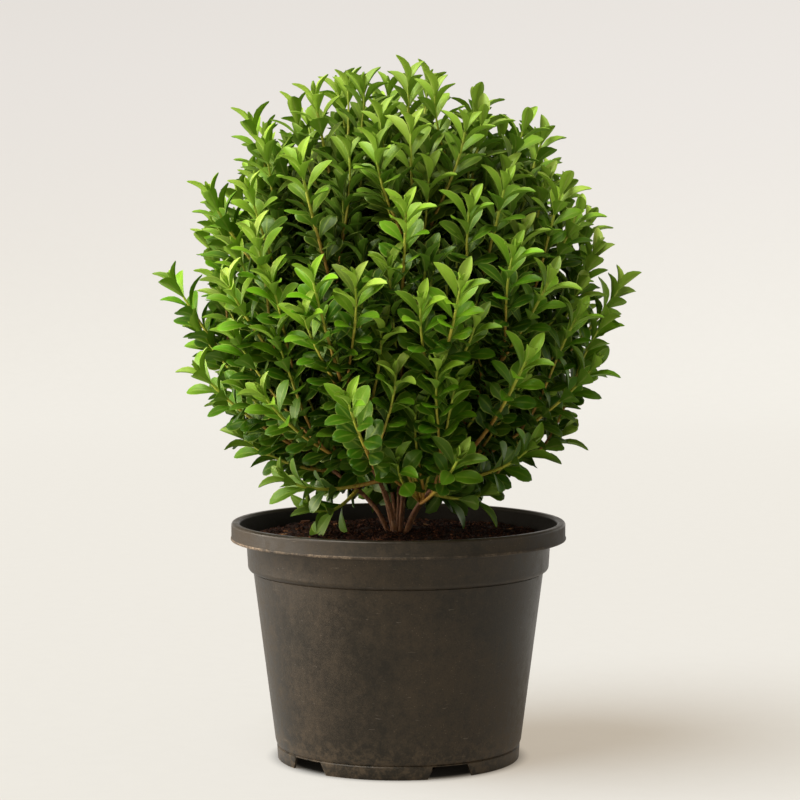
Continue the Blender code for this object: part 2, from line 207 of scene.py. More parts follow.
class Graph:
    """A node tree being built."""

    def __init__(self, tree):
        self.tree = tree
        tree.nodes.clear()

    def node(self, kind, inputs=(), **settings):
        """Adds one node, with the values or readings that its sockets take, and its own settings."""
        node = self.tree.nodes.new(kind)
        for name, value in settings.items():
            if name == "stops":
                set_stops(node.color_ramp, value)
            else:
                setattr(node, name, value)
        for key, value in inputs.items() if isinstance(inputs, dict) else enumerate(inputs):
            socket = pick(node.inputs, key)
            if isinstance(value, Reading):
                self.tree.links.new(value.socket, socket)
            else:
                socket.default_value = value
        return Made(self, node)

    def maths(self, operation, *values):
        return self.node("ShaderNodeMath", values, operation=operation)[0]

    def fit(self, value, low, high):
        """0 where a value is under low, 1 where it is over high, and smooth between."""
        inputs = {"Value": value, "From Min": low, "From Max": high}
        return self.node("ShaderNodeMapRange", inputs, interpolation_type="SMOOTHSTEP")[0]

    def mix(self, factor, under, over):
        """One colour laid over another, by a factor."""
        inputs = {"Factor": factor, "A": under, "B": over}
        return self.node("ShaderNodeMix", inputs, data_type="RGBA")["Result"]

    def ramp(self, factor, *stops):
        return self.node("ShaderNodeValToRGB", (factor,), stops=stops)["Color"]

    def noise(self, place, scale, detail=3, roughness=0.55, distortion=0):
        inputs = {"Vector": place, "Scale": scale, "Detail": detail}
        inputs.update({"Roughness": roughness, "Distortion": distortion})
        return self.node("ShaderNodeTexNoise", inputs)["Fac"]

    def cells(self, place, scale):
        return self.node("ShaderNodeTexVoronoi", {"Vector": place, "Scale": scale})["Distance"]

    def stretched(self, place, scale, turn=(0, 0, 0)):
        return self.node("ShaderNodeMapping", {"Vector": place, "Scale": scale, "Rotation": turn})[0]

    def split(self, vector):
        """A vector's X, Y and Z."""
        return self.node("ShaderNodeSeparateXYZ", (vector,))

    def clamped(self, value, low, high):
        return self.node("ShaderNodeClamp", (value, low, high))[0]

    def bump(self, height, strength, distance):
        inputs = {"Strength": strength, "Distance": distance, "Height": height}
        return self.node("ShaderNodeBump", inputs)[0]

    def attribute(self, name):
        return self.node("ShaderNodeAttribute", attribute_name=name)["Fac"]

    def place(self):
        return self.node("ShaderNodeTexCoord")["Object"]

    def named(self, name, data_type="FLOAT"):
        """A stored attribute, in a Geometry Nodes tree."""
        return self.node("GeometryNodeInputNamedAttribute", {"Name": name}, data_type=data_type)[0]

    def changed(self, kind, geometry, inputs=(), **settings):
        """A geometry after one node, which is named by the last part of its kind."""
        inputs = {"Geometry": geometry, **dict(inputs)}
        return self.node("GeometryNode" + kind, inputs, **settings)[0]

    def store(self, geometry, name, value, domain="POINT", data_type="FLOAT"):
        inputs = {"Name": name, "Value": value}
        return self.changed("StoreNamedAttribute", geometry, inputs, domain=domain, data_type=data_type)

    def random(self, low, high, seed, number=None):
        inputs = {"Min": low, "Max": high, "Seed": seed}
        if number:
            inputs["ID"] = number
        return self.node("FunctionNodeRandomValue", inputs, data_type="FLOAT")["Value"]

    def vector(self, operation, *values):
        return self.node("ShaderNodeVectorMath", values, operation=operation)[0]

    def scaled(self, vector, amount):
        return self.node("ShaderNodeVectorMath", {0: vector, "Scale": amount}, operation="SCALE")[0]

    def rotated(self, vector, axis, angle):
        inputs = {"Vector": vector, "Axis": axis, "Angle": angle}
        return self.node("ShaderNodeVectorRotate", inputs, rotation_type="AXIS_ANGLE")[0]

    def repeated(self, points, forms, number, rotation, scale):
        """One of a collection's forms, picked by its number, on each point."""
        inputs = {"Collection": forms, "Separate Children": True}
        picked = self.node("GeometryNodeCollectionInfo", inputs)[0]
        inputs = {"Points": points, "Instance": picked, "Pick Instance": True, "Instance Index": number}
        inputs.update({"Rotation": rotation, "Scale": scale})
        return self.node("GeometryNodeInstanceOnPoints", inputs)[0]


def set_stops(ramp, stops):
    """Sets a colour ramp's stops, each a place and a colour."""
    while len(ramp.elements) < len(stops):
        ramp.elements.new(1)
    for element, (place, colour) in zip(ramp.elements, stops):
        element.position = place
        element.color = colour


def paint(red, green, blue):
    """A colour as the screen shows it, 0 to 255, in the shaders' linear values."""
    shares = [value / 255 for value in (red, green, blue)]
    linear = [s / 12.92 if s <= 0.04045 else ((s + 0.055) / 1.055) ** 2.4 for s in shares]
    return (*linear, 1)


def new_material(name):
    material = bpy.data.materials.new(name)
    material.use_nodes = True
    return material, Graph(material.node_tree)


def finish_material(graph, **sockets):
    """Ends a material in one Principled shader. Socket names are written with _ for a space."""
    inputs = {name.replace("_", " "): value for name, value in sockets.items()}
    shader = graph.node("ShaderNodeBsdfPrincipled", inputs)[0]
    graph.node("ShaderNodeOutputMaterial", {"Surface": shader})


SOCKET_KINDS = {int: "NodeSocketInt", float: "NodeSocketFloat", Vector: "NodeSocketVector"}


def geometry_tree(name, inputs):
    """An empty Geometry Nodes tree with named inputs, and what its inputs give."""
    tree = bpy.data.node_groups.new(name, "GeometryNodeTree")
    tree.interface.new_socket("Geometry", in_out="INPUT", socket_type="NodeSocketGeometry")
    for label, value in inputs.items():
        kind = SOCKET_KINDS[type(value)]
        socket = tree.interface.new_socket(label, in_out="INPUT", socket_type=kind)
        socket.default_value = value
    tree.interface.new_socket("Geometry", in_out="OUTPUT", socket_type="NodeSocketGeometry")
    graph = Graph(tree)
    return graph, graph.node("NodeGroupInput")


def run_tree(base, tree, values, name):
    """Runs a Geometry Nodes tree on a base object, and gives the plain mesh that it makes."""
    modifier = base.modifiers.new(tree.name, "NODES")
    modifier.node_group = tree
    for socket in tree.interface.items_tree:
        if socket.in_out == "INPUT" and socket.name in values:
            modifier[socket.identifier] = values[socket.name]
    evaluated = base.evaluated_get(bpy.context.evaluated_depsgraph_get())
    mesh = bpy.data.meshes.new_from_object(evaluated)
    mesh.name = name
    base.modifiers.remove(modifier)
    return mesh


# Objects


def add_object(name, mesh, *materials):
    obj = bpy.data.objects.new(name, mesh)
    bpy.context.scene.collection.objects.link(obj)
    for material in materials:
        mesh.materials.append(material)
    return obj


def add_piece(name, mesh, slot, replaced, *materials):
    """Adds a finished piece, riding on the frame's one body, in place of the CAD nodes it replaces."""
    piece = add_object(name, mesh, *materials)
    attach(piece, "root")
    if replaced:
        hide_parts(*replaced)


def mesh_from(bm, name):
    mesh = bpy.data.meshes.new(name)
    bm.to_mesh(mesh)
    bm.free()
    return mesh


def object_from(bm, name):
    return add_object(name, mesh_from(bm, name))


def join_up(bm, corners):
    """Edges from each corner to the next."""
    for first, second in zip(corners, corners[1:]):
        bm.edges.new((first, second))


def smooth(mesh, angle):
    """Smooth shading, but for edges sharper than an angle in degrees."""
    mesh.shade_smooth()
    mesh.set_sharp_from_angle(angle=math.radians(angle))


def arc(centre_r, centre_z, radius, start, end, steps=6):
    """Points (r, z) on an arc, whose angles are counted up from +r, in degrees."""
    angles = [math.radians(start + (end - start) * i / steps) for i in range(steps + 1)]
    return [(centre_r + radius * math.cos(a), centre_z + radius * math.sin(a)) for a in angles]


def turned(name, profile, sides):
    """A solid of revolution, as an object. Its profile of (r, z) runs down the outer side, axis to axis."""
    bm = bmesh.new()
    corners = [bm.verts.new((r, 0, z)) for r, z in profile]
    join_up(bm, corners)
    obj = object_from(bm, name)
    screw = obj.modifiers.new("turn", "SCREW")
    screw.axis = "Z"
    screw.steps = sides
    screw.render_steps = sides
    screw.use_merge_vertices = True
    screw.merge_threshold = 0.00001
    return obj


def baked_down(obj):
    """The mesh that an object's modifiers make. The object itself is removed."""
    evaluated = obj.evaluated_get(bpy.context.evaluated_depsgraph_get())
    mesh = bpy.data.meshes.new_from_object(evaluated)
    bpy.data.objects.remove(obj)
    return mesh


# Studio

CAMERA_PLACE = (0.0011, -1.8, 0.3726)
CAMERA_DIP = 4.16  # degrees below level
CAMERA_SENSOR = 36
CAMERA_LENS = 120.8
PAPER_REACH = 2.7  # the floor's radius, out to where it turns up
PAPER_BEND = 1.1
PAPER_RISE = 0.7  # the height by which the paper has its wall's tone
PAPER_GLOW = 0.68
SKY_COLOUR = (1.0, 0.88, 0.70, 1)
SKY_POWER = 0.30
KEY_WAY = heading(-63, 60)
KEY_COLOUR = (0.95, 0.97, 0.98)
KEY_POWER = 5.15
KEY_SPREAD = 44
SOFTBOX_WAY = heading(-84, 2)
SOFTBOX_AIM = Vector((0, 0, 0.08))
SOFTBOX_DISTANCE = 1.25
SOFTBOX_SIZE = (1.5, 0.9)
SOFTBOX_COLOUR = (1.0, 0.91, 0.82)
SOFTBOX_POWER = 39


def make_camera():
    camera = bpy.data.objects.new("camera", bpy.data.cameras.new("camera"))
    bpy.context.scene.collection.objects.link(camera)
    camera.location = CAMERA_PLACE
    camera.rotation_euler = (math.radians(90 - CAMERA_DIP), 0, 0)
    camera.data.sensor_width = CAMERA_SENSOR
    camera.data.lens = CAMERA_LENS
    bpy.context.scene.camera = camera


def studio_paper_material():
    """Matt off-white paper with a faint grain. It glows a little, as if lit from behind, more where it turns
    up. Under the pot and just round its foot, its glow and colour are darkened into a painted contact shadow."""
    material, graph = new_material("studio_paper")
    place = graph.place()
    grain = graph.noise(place, 60, 3, 0.6)
    parts = graph.split(place)
    rise = graph.fit(parts["Z"], 0.0, PAPER_RISE)
    colour = graph.mix(grain, paint(131, 136, 139), paint(134, 139, 142))
    colour = graph.mix(rise, colour, paint(98, 98, 99))
    glow = graph.mix(grain, paint(216, 202, 183), paint(218, 204, 185))
    glow = graph.mix(rise, glow, paint(251, 245, 238))
    from_pot = (parts["X"] ** 2 + parts["Y"] ** 2) ** 0.5
    # Painted contact shadow: the paper's glow and colour are darkened under the pot's foot and just round it.
    painted_shadow_under_pot = 1 - graph.fit(from_pot, FOOT_RADIUS - 0.010, FOOT_RADIUS + 0.009)
    glow = graph.mix(painted_shadow_under_pot, glow, paint(16, 14, 11))
    colour = graph.mix(painted_shadow_under_pot * 0.7, colour, paint(60, 54, 46))
    finish_material(
        graph,
        Base_Color=colour,
        Roughness=0.9 + grain * 0.08,
        Specular_IOR_Level=0.0,
        Emission_Color=glow,
        Emission_Strength=PAPER_GLOW,
    )
    return material


def make_stage():
    """A pale floor that curves up into a wall all round, out of reach of every view."""
    profile = [(0, 0), (PAPER_REACH, 0)] + arc(PAPER_REACH, PAPER_BEND, PAPER_BEND, -90, 0, 16)[1:]
    stage = turned("studio_floor", profile, 96)
    mesh = baked_down(stage)
    mesh.flip_normals()
    mesh.shade_smooth()
    floor = add_object("studio_floor", mesh, studio_paper_material())
    return floor


def add_light(name, kind, colour, power):
    light = bpy.data.lights.new(name, kind)
    light.color = colour
    light.energy = power
    obj = bpy.data.objects.new(name, light)
    bpy.context.scene.collection.objects.link(obj)
    return obj


def make_lights(floor):
    """Warm light from all round, a broad soft key from the upper left, and a softbox low on the left for the
    pot's sheen. The softbox itself doesn't show, and it leaves the paper alone."""
    world = bpy.data.worlds.new("studio")
    bpy.context.scene.world = world
    world.use_nodes = True
    graph = Graph(world.node_tree)
    sky = graph.node("ShaderNodeBackground", {"Color": SKY_COLOUR, "Strength": SKY_POWER})
    graph.node("ShaderNodeOutputWorld", {"Surface": sky[0]})
    key = add_light("broad_key", "SUN", KEY_COLOUR, KEY_POWER)
    key.data.angle = math.radians(KEY_SPREAD)
    key.rotation_euler = KEY_WAY.to_track_quat("Z", "Y").to_euler()
    side = add_light("side_softbox", "AREA", SOFTBOX_COLOUR, SOFTBOX_POWER)
    side.data.shape = "RECTANGLE"
    side.data.size, side.data.size_y = SOFTBOX_SIZE
    side.location = SOFTBOX_AIM + SOFTBOX_WAY * SOFTBOX_DISTANCE
    side.rotation_euler = SOFTBOX_WAY.to_track_quat("Z", "Y").to_euler()
    side.visible_camera = False
    unlit = bpy.data.collections.new("kept out of the side light")
    unlit.objects.link(floor)
    unlit.collection_objects[0].light_linking.link_state = "EXCLUDE"
    side.light_linking.receiver_collection = unlit


# Pot


def pot_plastic_material():
    """Charcoal-brown moulded plastic, dulled by weather: dust in fine mottles and faint drips, small scuffs
    and specks, and tan worn edges, with painted highlight on the left and the rim's lip. Painted shade
    inside."""
    material, graph = new_material("weathered_pot_plastic")
    place = graph.place()
    parts = graph.split(place)
    height = parts["Z"]
    across = (parts["X"] ** 2 + parts["Y"] ** 2) ** 0.5
    cloud = graph.noise(place, 14, 3, 0.5)
    mottle = graph.noise(place, 150, 5, 0.75)
    drips = graph.noise(graph.stretched(place, (1, 1, 0.07)), 170, 3, 0.65)
    fine = graph.noise(place, 900, 3, 0.7)
    grime = graph.fit(cloud * 0.46 + mottle * 0.36 + drips * 0.14 + fine * 0.26, 0.50, 0.78)
    colour = graph.ramp(fine * 0.5 + mottle * 0.5, (0.32, paint(18, 15, 10)), (0.68, paint(29, 25, 17)))
    colour = graph.mix(grime * 0.45, colour, paint(68, 56, 41))
    rub = graph.noise(graph.stretched(place, (1, 1, 6), (0.5, 0.35, 0.2)), 170, 2, 0.5, 0.6)
    scuffs = graph.fit(rub, 0.70, 0.77)
    colour = graph.mix(scuffs * 0.25, colour, paint(122, 112, 100))
    specks = 1 - graph.fit(graph.cells(place, 420), 0.08, 0.13)
    specks = specks * graph.fit(cloud * 0.5 + mottle * 0.5, 0.50, 0.58)
    colour = graph.mix(specks * 0.18, colour, paint(150, 134, 112))
    low = 1 - graph.fit(height, 0.004, 0.035)
    colour = graph.mix(low * graph.fit(mottle, 0.42, 0.62) * 0.25, colour, paint(100, 84, 64))
    # The worn edges are paler towards the left, and along the rim's lip. This is a painted highlight where
    # the light falls, laid over real wear.
    painted_left_highlight = graph.fit(0 - parts["X"], -0.02, 0.09) * 0.7 + 0.25
    worn = graph.attribute("worn") * graph.fit(cloud * 0.9 + mottle * 0.35, 0.48, 0.70) * painted_left_highlight
    chipped = graph.fit(mottle * 0.6 + fine * 0.4, 0.44, 0.62)
    edge = graph.mix(chipped, paint(82, 68, 54), paint(158, 138, 114))
    colour = graph.mix(worn * 0.65, colour, edge)
    inner_edge = RIM_RADIUS - CREST_WIDTH
    # Painted shade: the inner wall near the top is darkened to near black. It is also made rougher.
    painted_inside_shade = (height > RIM_BOTTOM) * (1 - graph.fit(across, inner_edge - 0.001, inner_edge))
    colour = graph.mix(painted_inside_shade * 0.85, colour, paint(14, 12, 9))
    crest = graph.fit(height, POT_HEIGHT - 0.0022, POT_HEIGHT - 0.0010)
    rim = (height > RIM_BOTTOM) * (0.16 - crest * 0.26)
    roughness = 0.34 + grime * 0.18 + mottle * 0.12 + painted_inside_shade * 0.3 + rim
    relief = fine * 0.5 + mottle * 0.5 - scuffs * 0.4
    normal = graph.bump(relief, 0.25, 0.0005)
    finish_material(
        graph,
        Base_Color=colour,
        Roughness=roughness,
        Normal=normal,
        Specular_IOR_Level=0.31,
        Specular_Tint=(1.0, 0.915, 0.80, 1),
    )
    return material


def pot_inside():
    """The pot's inner surface, from its floor to its neck."""
    return [
        (BODY_BOTTOM_RADIUS - WALL, FLOOR_TOP),
        (BODY_TOP_RADIUS - WALL, LEDGE_HEIGHT - WALL),
        (COLLAR_BOTTOM_RADIUS - WALL, LEDGE_HEIGHT + WALL),
        (NECK_RADIUS, FLARE_BOTTOM),
    ]


def pot_profile():
    """The pot's section: from its floor's middle up, over the crest, and down to the middle underneath."""
    under_crest = POT_HEIGHT - 2 * WALL
    skirt_inner = RIM_RADIUS - WALL
    flare_top = RIM_RADIUS - CREST_WIDTH
    profile = [(0, FLOOR_TOP)] + pot_inside()
    profile += arc(flare_top + CREST_ROUND, POT_HEIGHT - CREST_ROUND, CREST_ROUND, 150, 90, 5)
    profile += arc(RIM_RADIUS - RIM_ROUND, POT_HEIGHT - RIM_ROUND, RIM_ROUND, 90, 0)
    profile += [(RIM_RADIUS, RIM_BOTTOM + BEAD_HEIGHT)]
    for share, proud in BEAD_CURVE:
        profile += [(RIM_RADIUS + proud * BEAD_PROUD, RIM_BOTTOM + share * BEAD_HEIGHT)]
    profile += [(RIM_RADIUS - RIM_LIP / 2, RIM_BOTTOM)]
    profile += [(skirt_inner, RIM_BOTTOM), (skirt_inner, under_crest - WALL)]
    profile += [(skirt_inner - WALL / 2, under_crest), (flare_top, under_crest)]
    profile += [(COLLAR_TOP_RADIUS, FLARE_BOTTOM - WALL)]
    profile += arc(BODY_TOP_RADIUS, LEDGE_HEIGHT + COLLAR_ROUND, COLLAR_ROUND, 0, -90)
    for inward, up in ((LEDGE_GROOVE, 0.0001), (LEDGE_GROOVE, -0.0003), (0.0001, -0.0007)):
        profile += [(BODY_TOP_RADIUS - inward, LEDGE_HEIGHT + up)]
    profile += [(BODY_BOTTOM_RADIUS, FOOT_HEIGHT + BODY_TUCK), (FOOT_RADIUS, FOOT_HEIGHT)]
    profile += [(FOOT_RADIUS - FOOT_GROOVE, FOOT_HEIGHT - FOOT_GROOVE)]
    profile += [(FOOT_RADIUS, FOOT_HEIGHT - 2 * FOOT_GROOVE), (FOOT_RADIUS - FOOT_DRAFT, 0)]
    profile += [(FOOT_RADIUS - FOOT_WALL, 0), (FOOT_RADIUS - FOOT_WALL, FLOOR_UNDERSIDE)]
    return profile + [(0, FLOOR_UNDERSIDE)]


def notch_cutter():
    """Five wedges that open the foot ring, narrower at the top."""
    bm = bmesh.new()
    reach = FOOT_WALL + 2 * CUT_PAST
    for i in range(NOTCH_COUNT):
        out = heading(NOTCH_AZIMUTH + i * 360 / NOTCH_COUNT, 0)
        across = out.cross(Vector((0, 0, 1)))
        corners = bmesh.ops.create_cube(bm, size=2)["verts"]
        for corner in corners:
            width = NOTCH_TOP_WIDTH if corner.co.z > 0 else NOTCH_BOTTOM_WIDTH
            height = NOTCH_HEIGHT if corner.co.z > 0 else -CUT_PAST
            radius = FOOT_RADIUS - FOOT_WALL / 2 + corner.co.y * reach / 2
            corner.co = out * radius + across * (corner.co.x * width / 2) + Vector((0, 0, height))
    return object_from(bm, "foot_notch_cutter")


def drain_cutter():
    """One hole in the middle of the floor and a ring of five between the notches."""
    bm = bmesh.new()
    spots = [Vector((0, 0, 0))]
    for i in range(NOTCH_COUNT):
        spots.append(heading(NOTCH_AZIMUTH + (i + 0.5) * 360 / NOTCH_COUNT, 0) * DRAIN_RING_RADIUS)
    for spot in spots:
        sizes = {"radius1": DRAIN_RADIUS, "radius2": DRAIN_RADIUS, "depth": FLOOR_THICKNESS + 2 * CUT_PAST}
        hole = bmesh.ops.create_cone(bm, cap_ends=True, segments=32, **sizes)
        middle = spot + Vector((0, 0, FLOOR_UNDERSIDE + FLOOR_THICKNESS / 2))
        bmesh.ops.translate(bm, verts=hole["verts"], vec=middle)
    return object_from(bm, "drain_hole_cutter")


def wear_edges(mesh):
    """Bevels the notches' edges, and marks them and the rim's lower edge for wear and painted highlight."""
    bm = bmesh.new()
    bm.from_mesh(mesh)
    worn = bm.faces.layers.float.new("worn")
    outer = FOOT_RADIUS - FOOT_DRAFT - NOTCH_EDGE
    notch_edges = []
    for edge in bm.edges:
        middle = (edge.verts[0].co + edge.verts[1].co) / 2
        by_notch = middle.xy.length > outer and middle.z < NOTCH_HEIGHT + SLACK
        if by_notch and len(edge.link_faces) == 2 and edge.calc_face_angle(0) > math.radians(NOTCH_SHARP):
            notch_edges.append(edge)
    cut = {"offset": NOTCH_EDGE, "segments": 2, "profile": 0.5, "affect": "EDGES"}
    for face in bmesh.ops.bevel(bm, geom=notch_edges, **cut)["faces"]:
        face[worn] = 1
    for face in bm.faces:
        middle = face.calc_center_median()
        on_lip = RIM_BOTTOM - SLACK / 2 < middle.z < RIM_BOTTOM + 0.8 * BEAD_HEIGHT
        if on_lip and middle.xy.length > RIM_RADIUS - RIM_LIP:
            face[worn] = 1
    bm.to_mesh(mesh)
    bm.free()


def make_pot():
    """The moulded pot: turned, then cut by its notches and drain holes."""
    pot = turned("nursery_pot_form", pot_profile(), POT_SIDES)
    cutters = [notch_cutter(), drain_cutter()]
    for cutter in cutters:
        boolean = pot.modifiers.new(cutter.name, "BOOLEAN")
        boolean.operation = "DIFFERENCE"
        boolean.object = cutter
    mesh = baked_down(pot)
    for cutter in cutters:
        bpy.data.objects.remove(cutter)
    wear_edges(mesh)
    smooth(mesh, 32)
    add_piece("moulded_pot", mesh, "pot_plastic", ["nursery_pot"], pot_plastic_material())


# Soil


def soil_material():
    """Dark peaty compost with reddish bark in it. Each loose crumb has its own tone."""
    material, graph = new_material("peat_and_bark")
    place = graph.place()
    tone = graph.attribute("tone")
    grain = graph.noise(place, 260, 5, 0.7)
    patch = graph.noise(place, 45, 3, 0.6)
    colour = graph.ramp(
        tone * 0.8 + grain * 0.35,
        (0.15, paint(22, 12, 7)),
        (0.50, paint(44, 23, 13)),
        (0.78, paint(76, 44, 26)),
        (0.93, paint(122, 76, 44)),
        (1.0, paint(210, 160, 108)),
    )
    colour = graph.mix(graph.fit(patch, 0.40, 0.66) * 0.35, colour, paint(30, 18, 12))
    normal = graph.bump(grain, 0.5, 0.0008)
    roughness = 0.84 + grain * 0.12
    finish_material(graph, Base_Color=colour, Roughness=roughness, Normal=normal, Specular_IOR_Level=0.2)
    return material


def soil_height(x, y):
    """The bed's surface: a low dome, with lumps."""
    share = math.hypot(x, y) / SOIL_RADIUS
    lumps = noise.fractal(Vector((x, y, 0.5)) * 55, 0.6, 2.1, 4) * 0.0016
    fine = noise.noise(Vector((x, y, 3.0)) * 300) * 0.0005
    return SOIL_EDGE - 0.001 + SOIL_DOME * (1 - share**2) + lumps + fine


def make_soil_bed(material):
    """The soil that fills the pot. Only its top is uneven."""
    profile = [(0, SOIL_EDGE)]
    profile += [(SOIL_RADIUS * i / SOIL_RINGS, SOIL_EDGE) for i in range(1, SOIL_RINGS + 1)]
    profile += [(r - SOIL_GAP, z) for r, z in pot_inside()[-2::-1]]
    profile[-1] = (profile[-1][0], SOIL_BOTTOM)
    profile += [(0, SOIL_BOTTOM)]
    mesh = baked_down(turned("soil_form", profile, SOIL_SIDES))
    for vertex in mesh.vertices:
        if vertex.co.z > SOIL_EDGE - 0.0005:
            vertex.co.z = soil_height(vertex.co.x, vertex.co.y)
    tone = mesh.attributes.new("tone", "FLOAT", "POINT")
    tone.data.foreach_set("value", [SOIL_TONE] * len(mesh.vertices))
    smooth(mesh, 50)
    add_piece("soil_bed", mesh, "soil", ["potting_soil"], material)


def crumb_form(name, size, seed):
    """One crumb of bark, as a rough block of a few faces."""
    rng = random.Random(seed)
    bm = bmesh.new()
    bmesh.ops.create_cube(bm, size=1.6)
    for vertex in bm.verts:
        vertex.co *= rng.uniform(0.55, 1.15)
        vertex.co = Vector(a * b for a, b in zip(vertex.co, size))
    bmesh.ops.triangulate(bm, faces=bm.faces)
    return mesh_from(bm, name)


def fibre_form(name, length, radius, seed):
    """One curled root fibre, thin and three-sided."""
    rng = random.Random(seed)
    bm = bmesh.new()
    curl = rng.uniform(-1.2, 1.2)
    lift = rng.uniform(0.1, 0.5)
    rings = []
    for i in range(5):
        share = i / 4 - 0.5
        bend = share**2
        middle = Vector((share * length, curl * length * (bend - 0.12), lift * length * (0.25 - bend)))
        ring = []
        for k in range(3):
            turn = k * math.tau / 3 + i * 0.4
            thick = radius * (1.0 if 0 < i < 4 else 0.5)
            ring.append(bm.verts.new(middle + Vector((0, math.cos(turn), math.sin(turn))) * thick))
        rings.append(ring)
    for first, second in zip(rings, rings[1:]):
        for k in range(3):
            bm.faces.new((first[k], second[k], second[(k + 1) % 3], first[(k + 1) % 3]))
    bm.faces.new(rings[0])
    bm.faces.new(rings[-1][::-1])
    bmesh.ops.recalc_face_normals(bm, faces=bm.faces)
    return mesh_from(bm, name)


def form_collection(name, meshes):
    """Forms for a tree to repeat. A tree numbers them in the order of their names."""
    collection = bpy.data.collections.new(name)
    for mesh in meshes:
        collection.objects.link(bpy.data.objects.new(mesh.name, mesh))
    return collection


def remove_forms(collection):
    for form in list(collection.objects):
        bpy.data.objects.remove(form)
    bpy.data.collections.remove(collection)


def scatter_tree(forms, material):
    """Lays forms at random over a surface, pressed into it and turned all ways."""
    inputs = {"Per square metre": 1000.0, "Smallest": 0.5, "Largest": 1.5, "Tilt": math.pi}
    inputs.update({"Darkest": 0.0, "Palest": 1.0, "Lift": 0.0, "Seed": 1})
    graph, given = geometry_tree("loose litter", inputs)
    seed = given["Seed"]
    inputs = {"Mesh": given["Geometry"], "Density": given["Per square metre"], "Seed": seed}
    spots = graph.node("GeometryNodeDistributePointsOnFaces", inputs)
    points = graph.store(spots["Points"], "tone", graph.random(given["Darkest"], given["Palest"], seed + 1))
    lift = graph.node("ShaderNodeCombineXYZ", {"Z": given["Lift"]})[0]
    points = graph.changed("SetPosition", points, {"Offset": lift})
    tilt = given["Tilt"]
    turns = [graph.random(0.0, 1.0, seed + 2 + i) * tilt * 2 - tilt for i in range(2)]
    turn = graph.node("ShaderNodeCombineXYZ", (*turns, graph.random(0.0, math.tau, seed + 4)))[0]
    size = graph.random(0.0, 1.0, seed + 5)
    size = given["Smallest"] + (given["Largest"] - given["Smallest"]) * size * size
    form = graph.maths("FLOOR", graph.random(0.0, len(forms.objects) - 0.01, seed + 6))
    return close_tree(graph, graph.repeated(points, forms, form, turn, size), material)


def close_tree(graph, instances, material, *others):
    """Ends a tree: instances made real, with their material, beside any other geometry."""
    real = graph.changed("RealizeInstances", instances)
    real = graph.changed("SetMaterial", real, {"Material": material})
    if others:
        join = graph.node("GeometryNodeJoinGeometry")
        for part in (*others, real):
            graph.tree.links.new(part.socket, join.node.inputs[0])
        real = join[0]
    graph.node("NodeGroupOutput", {"Geometry": real})
    return graph.tree


def litter_ground():
    """The bed's surface alone, for litter to lie on."""
    bm = bmesh.new()
    bmesh.ops.create_circle(bm, cap_ends=True, cap_tris=True, segments=64, radius=SOIL_RADIUS - 0.0022)
    bmesh.ops.subdivide_edges(bm, edges=bm.edges, cuts=5, use_grid_fill=True)
    for vertex in bm.verts:
        vertex.co.z = soil_height(vertex.co.x, vertex.co.y)
    return object_from(bm, "litter_ground")


def make_litter(material):
    ground = litter_ground()
    crumbs = [crumb_form(f"crumb_{i}", size, i) for i, size in enumerate(CRUMB_SIZES)]
    chips = [crumb_form(f"chip_{i}", size, 20 + i) for i, size in enumerate(CHIP_SIZES)]
    fibres = [fibre_form(f"fibre_{i}", FIBRE_LENGTH, FIBRE_RADIUS, 40 + i) for i in range(FIBRE_COUNT)]
    crumb = {"Per square metre": 330000.0, "Smallest": 0.3, "Largest": 1.5, "Palest": 0.85, "Seed": 3}
    chip = {"Per square metre": 3600.0, "Smallest": 0.25, "Largest": 0.9, "Tilt": 0.45, "Seed": 11}
    fibre = {"Per square metre": 9000.0, "Smallest": 0.25, "Largest": 0.7, "Tilt": 0.5, "Seed": 19}
    chip.update({"Darkest": 0.2, "Lift": 0.0009})
    fibre.update({"Darkest": 0.2, "Palest": 0.9, "Lift": 0.0009})
    kinds = (("peat_crumbs", crumbs, crumb), ("bark_chips", chips, chip), ("root_fibres", fibres, fibre))
    for name, meshes, values in kinds:
        forms = form_collection(name, meshes)
        mesh = run_tree(ground, scatter_tree(forms, material), values, name)
        remove_forms(forms)
        add_piece(name, mesh, "soil", ())
    bpy.data.objects.remove(ground)


# Stems


def bark_material():
    """Tan-brown bark, finely ridged lengthwise, with grey patches."""
    material, graph = new_material("stem_bark")
    place = graph.place()
    ridges = graph.noise(graph.stretched(place, (1, 1, 0.10)), 900, 3, 0.6)
    patch = graph.noise(place, 120, 4, 0.6)
    flecks = graph.noise(graph.stretched(place, (1, 1, 0.35)), 420, 2, 0.5)
    colour = graph.ramp(
        ridges * 0.55 + patch * 0.45,
        (0.30, paint(62, 38, 22)),
        (0.50, paint(116, 76, 44)),
        (0.70, paint(158, 114, 70)),
    )
    colour = graph.mix(graph.fit(flecks, 0.56, 0.70) * 0.6, colour, paint(60, 38, 26))
    colour = graph.mix(graph.fit(patch, 0.55, 0.72) * 0.45, colour, paint(150, 138, 116))
    normal = graph.bump(ridges * 0.7 + patch * 0.3, 0.6, 0.0005)
    finish_material(graph, Base_Color=colour, Roughness=0.72 + patch * 0.15, Normal=normal)
    return material


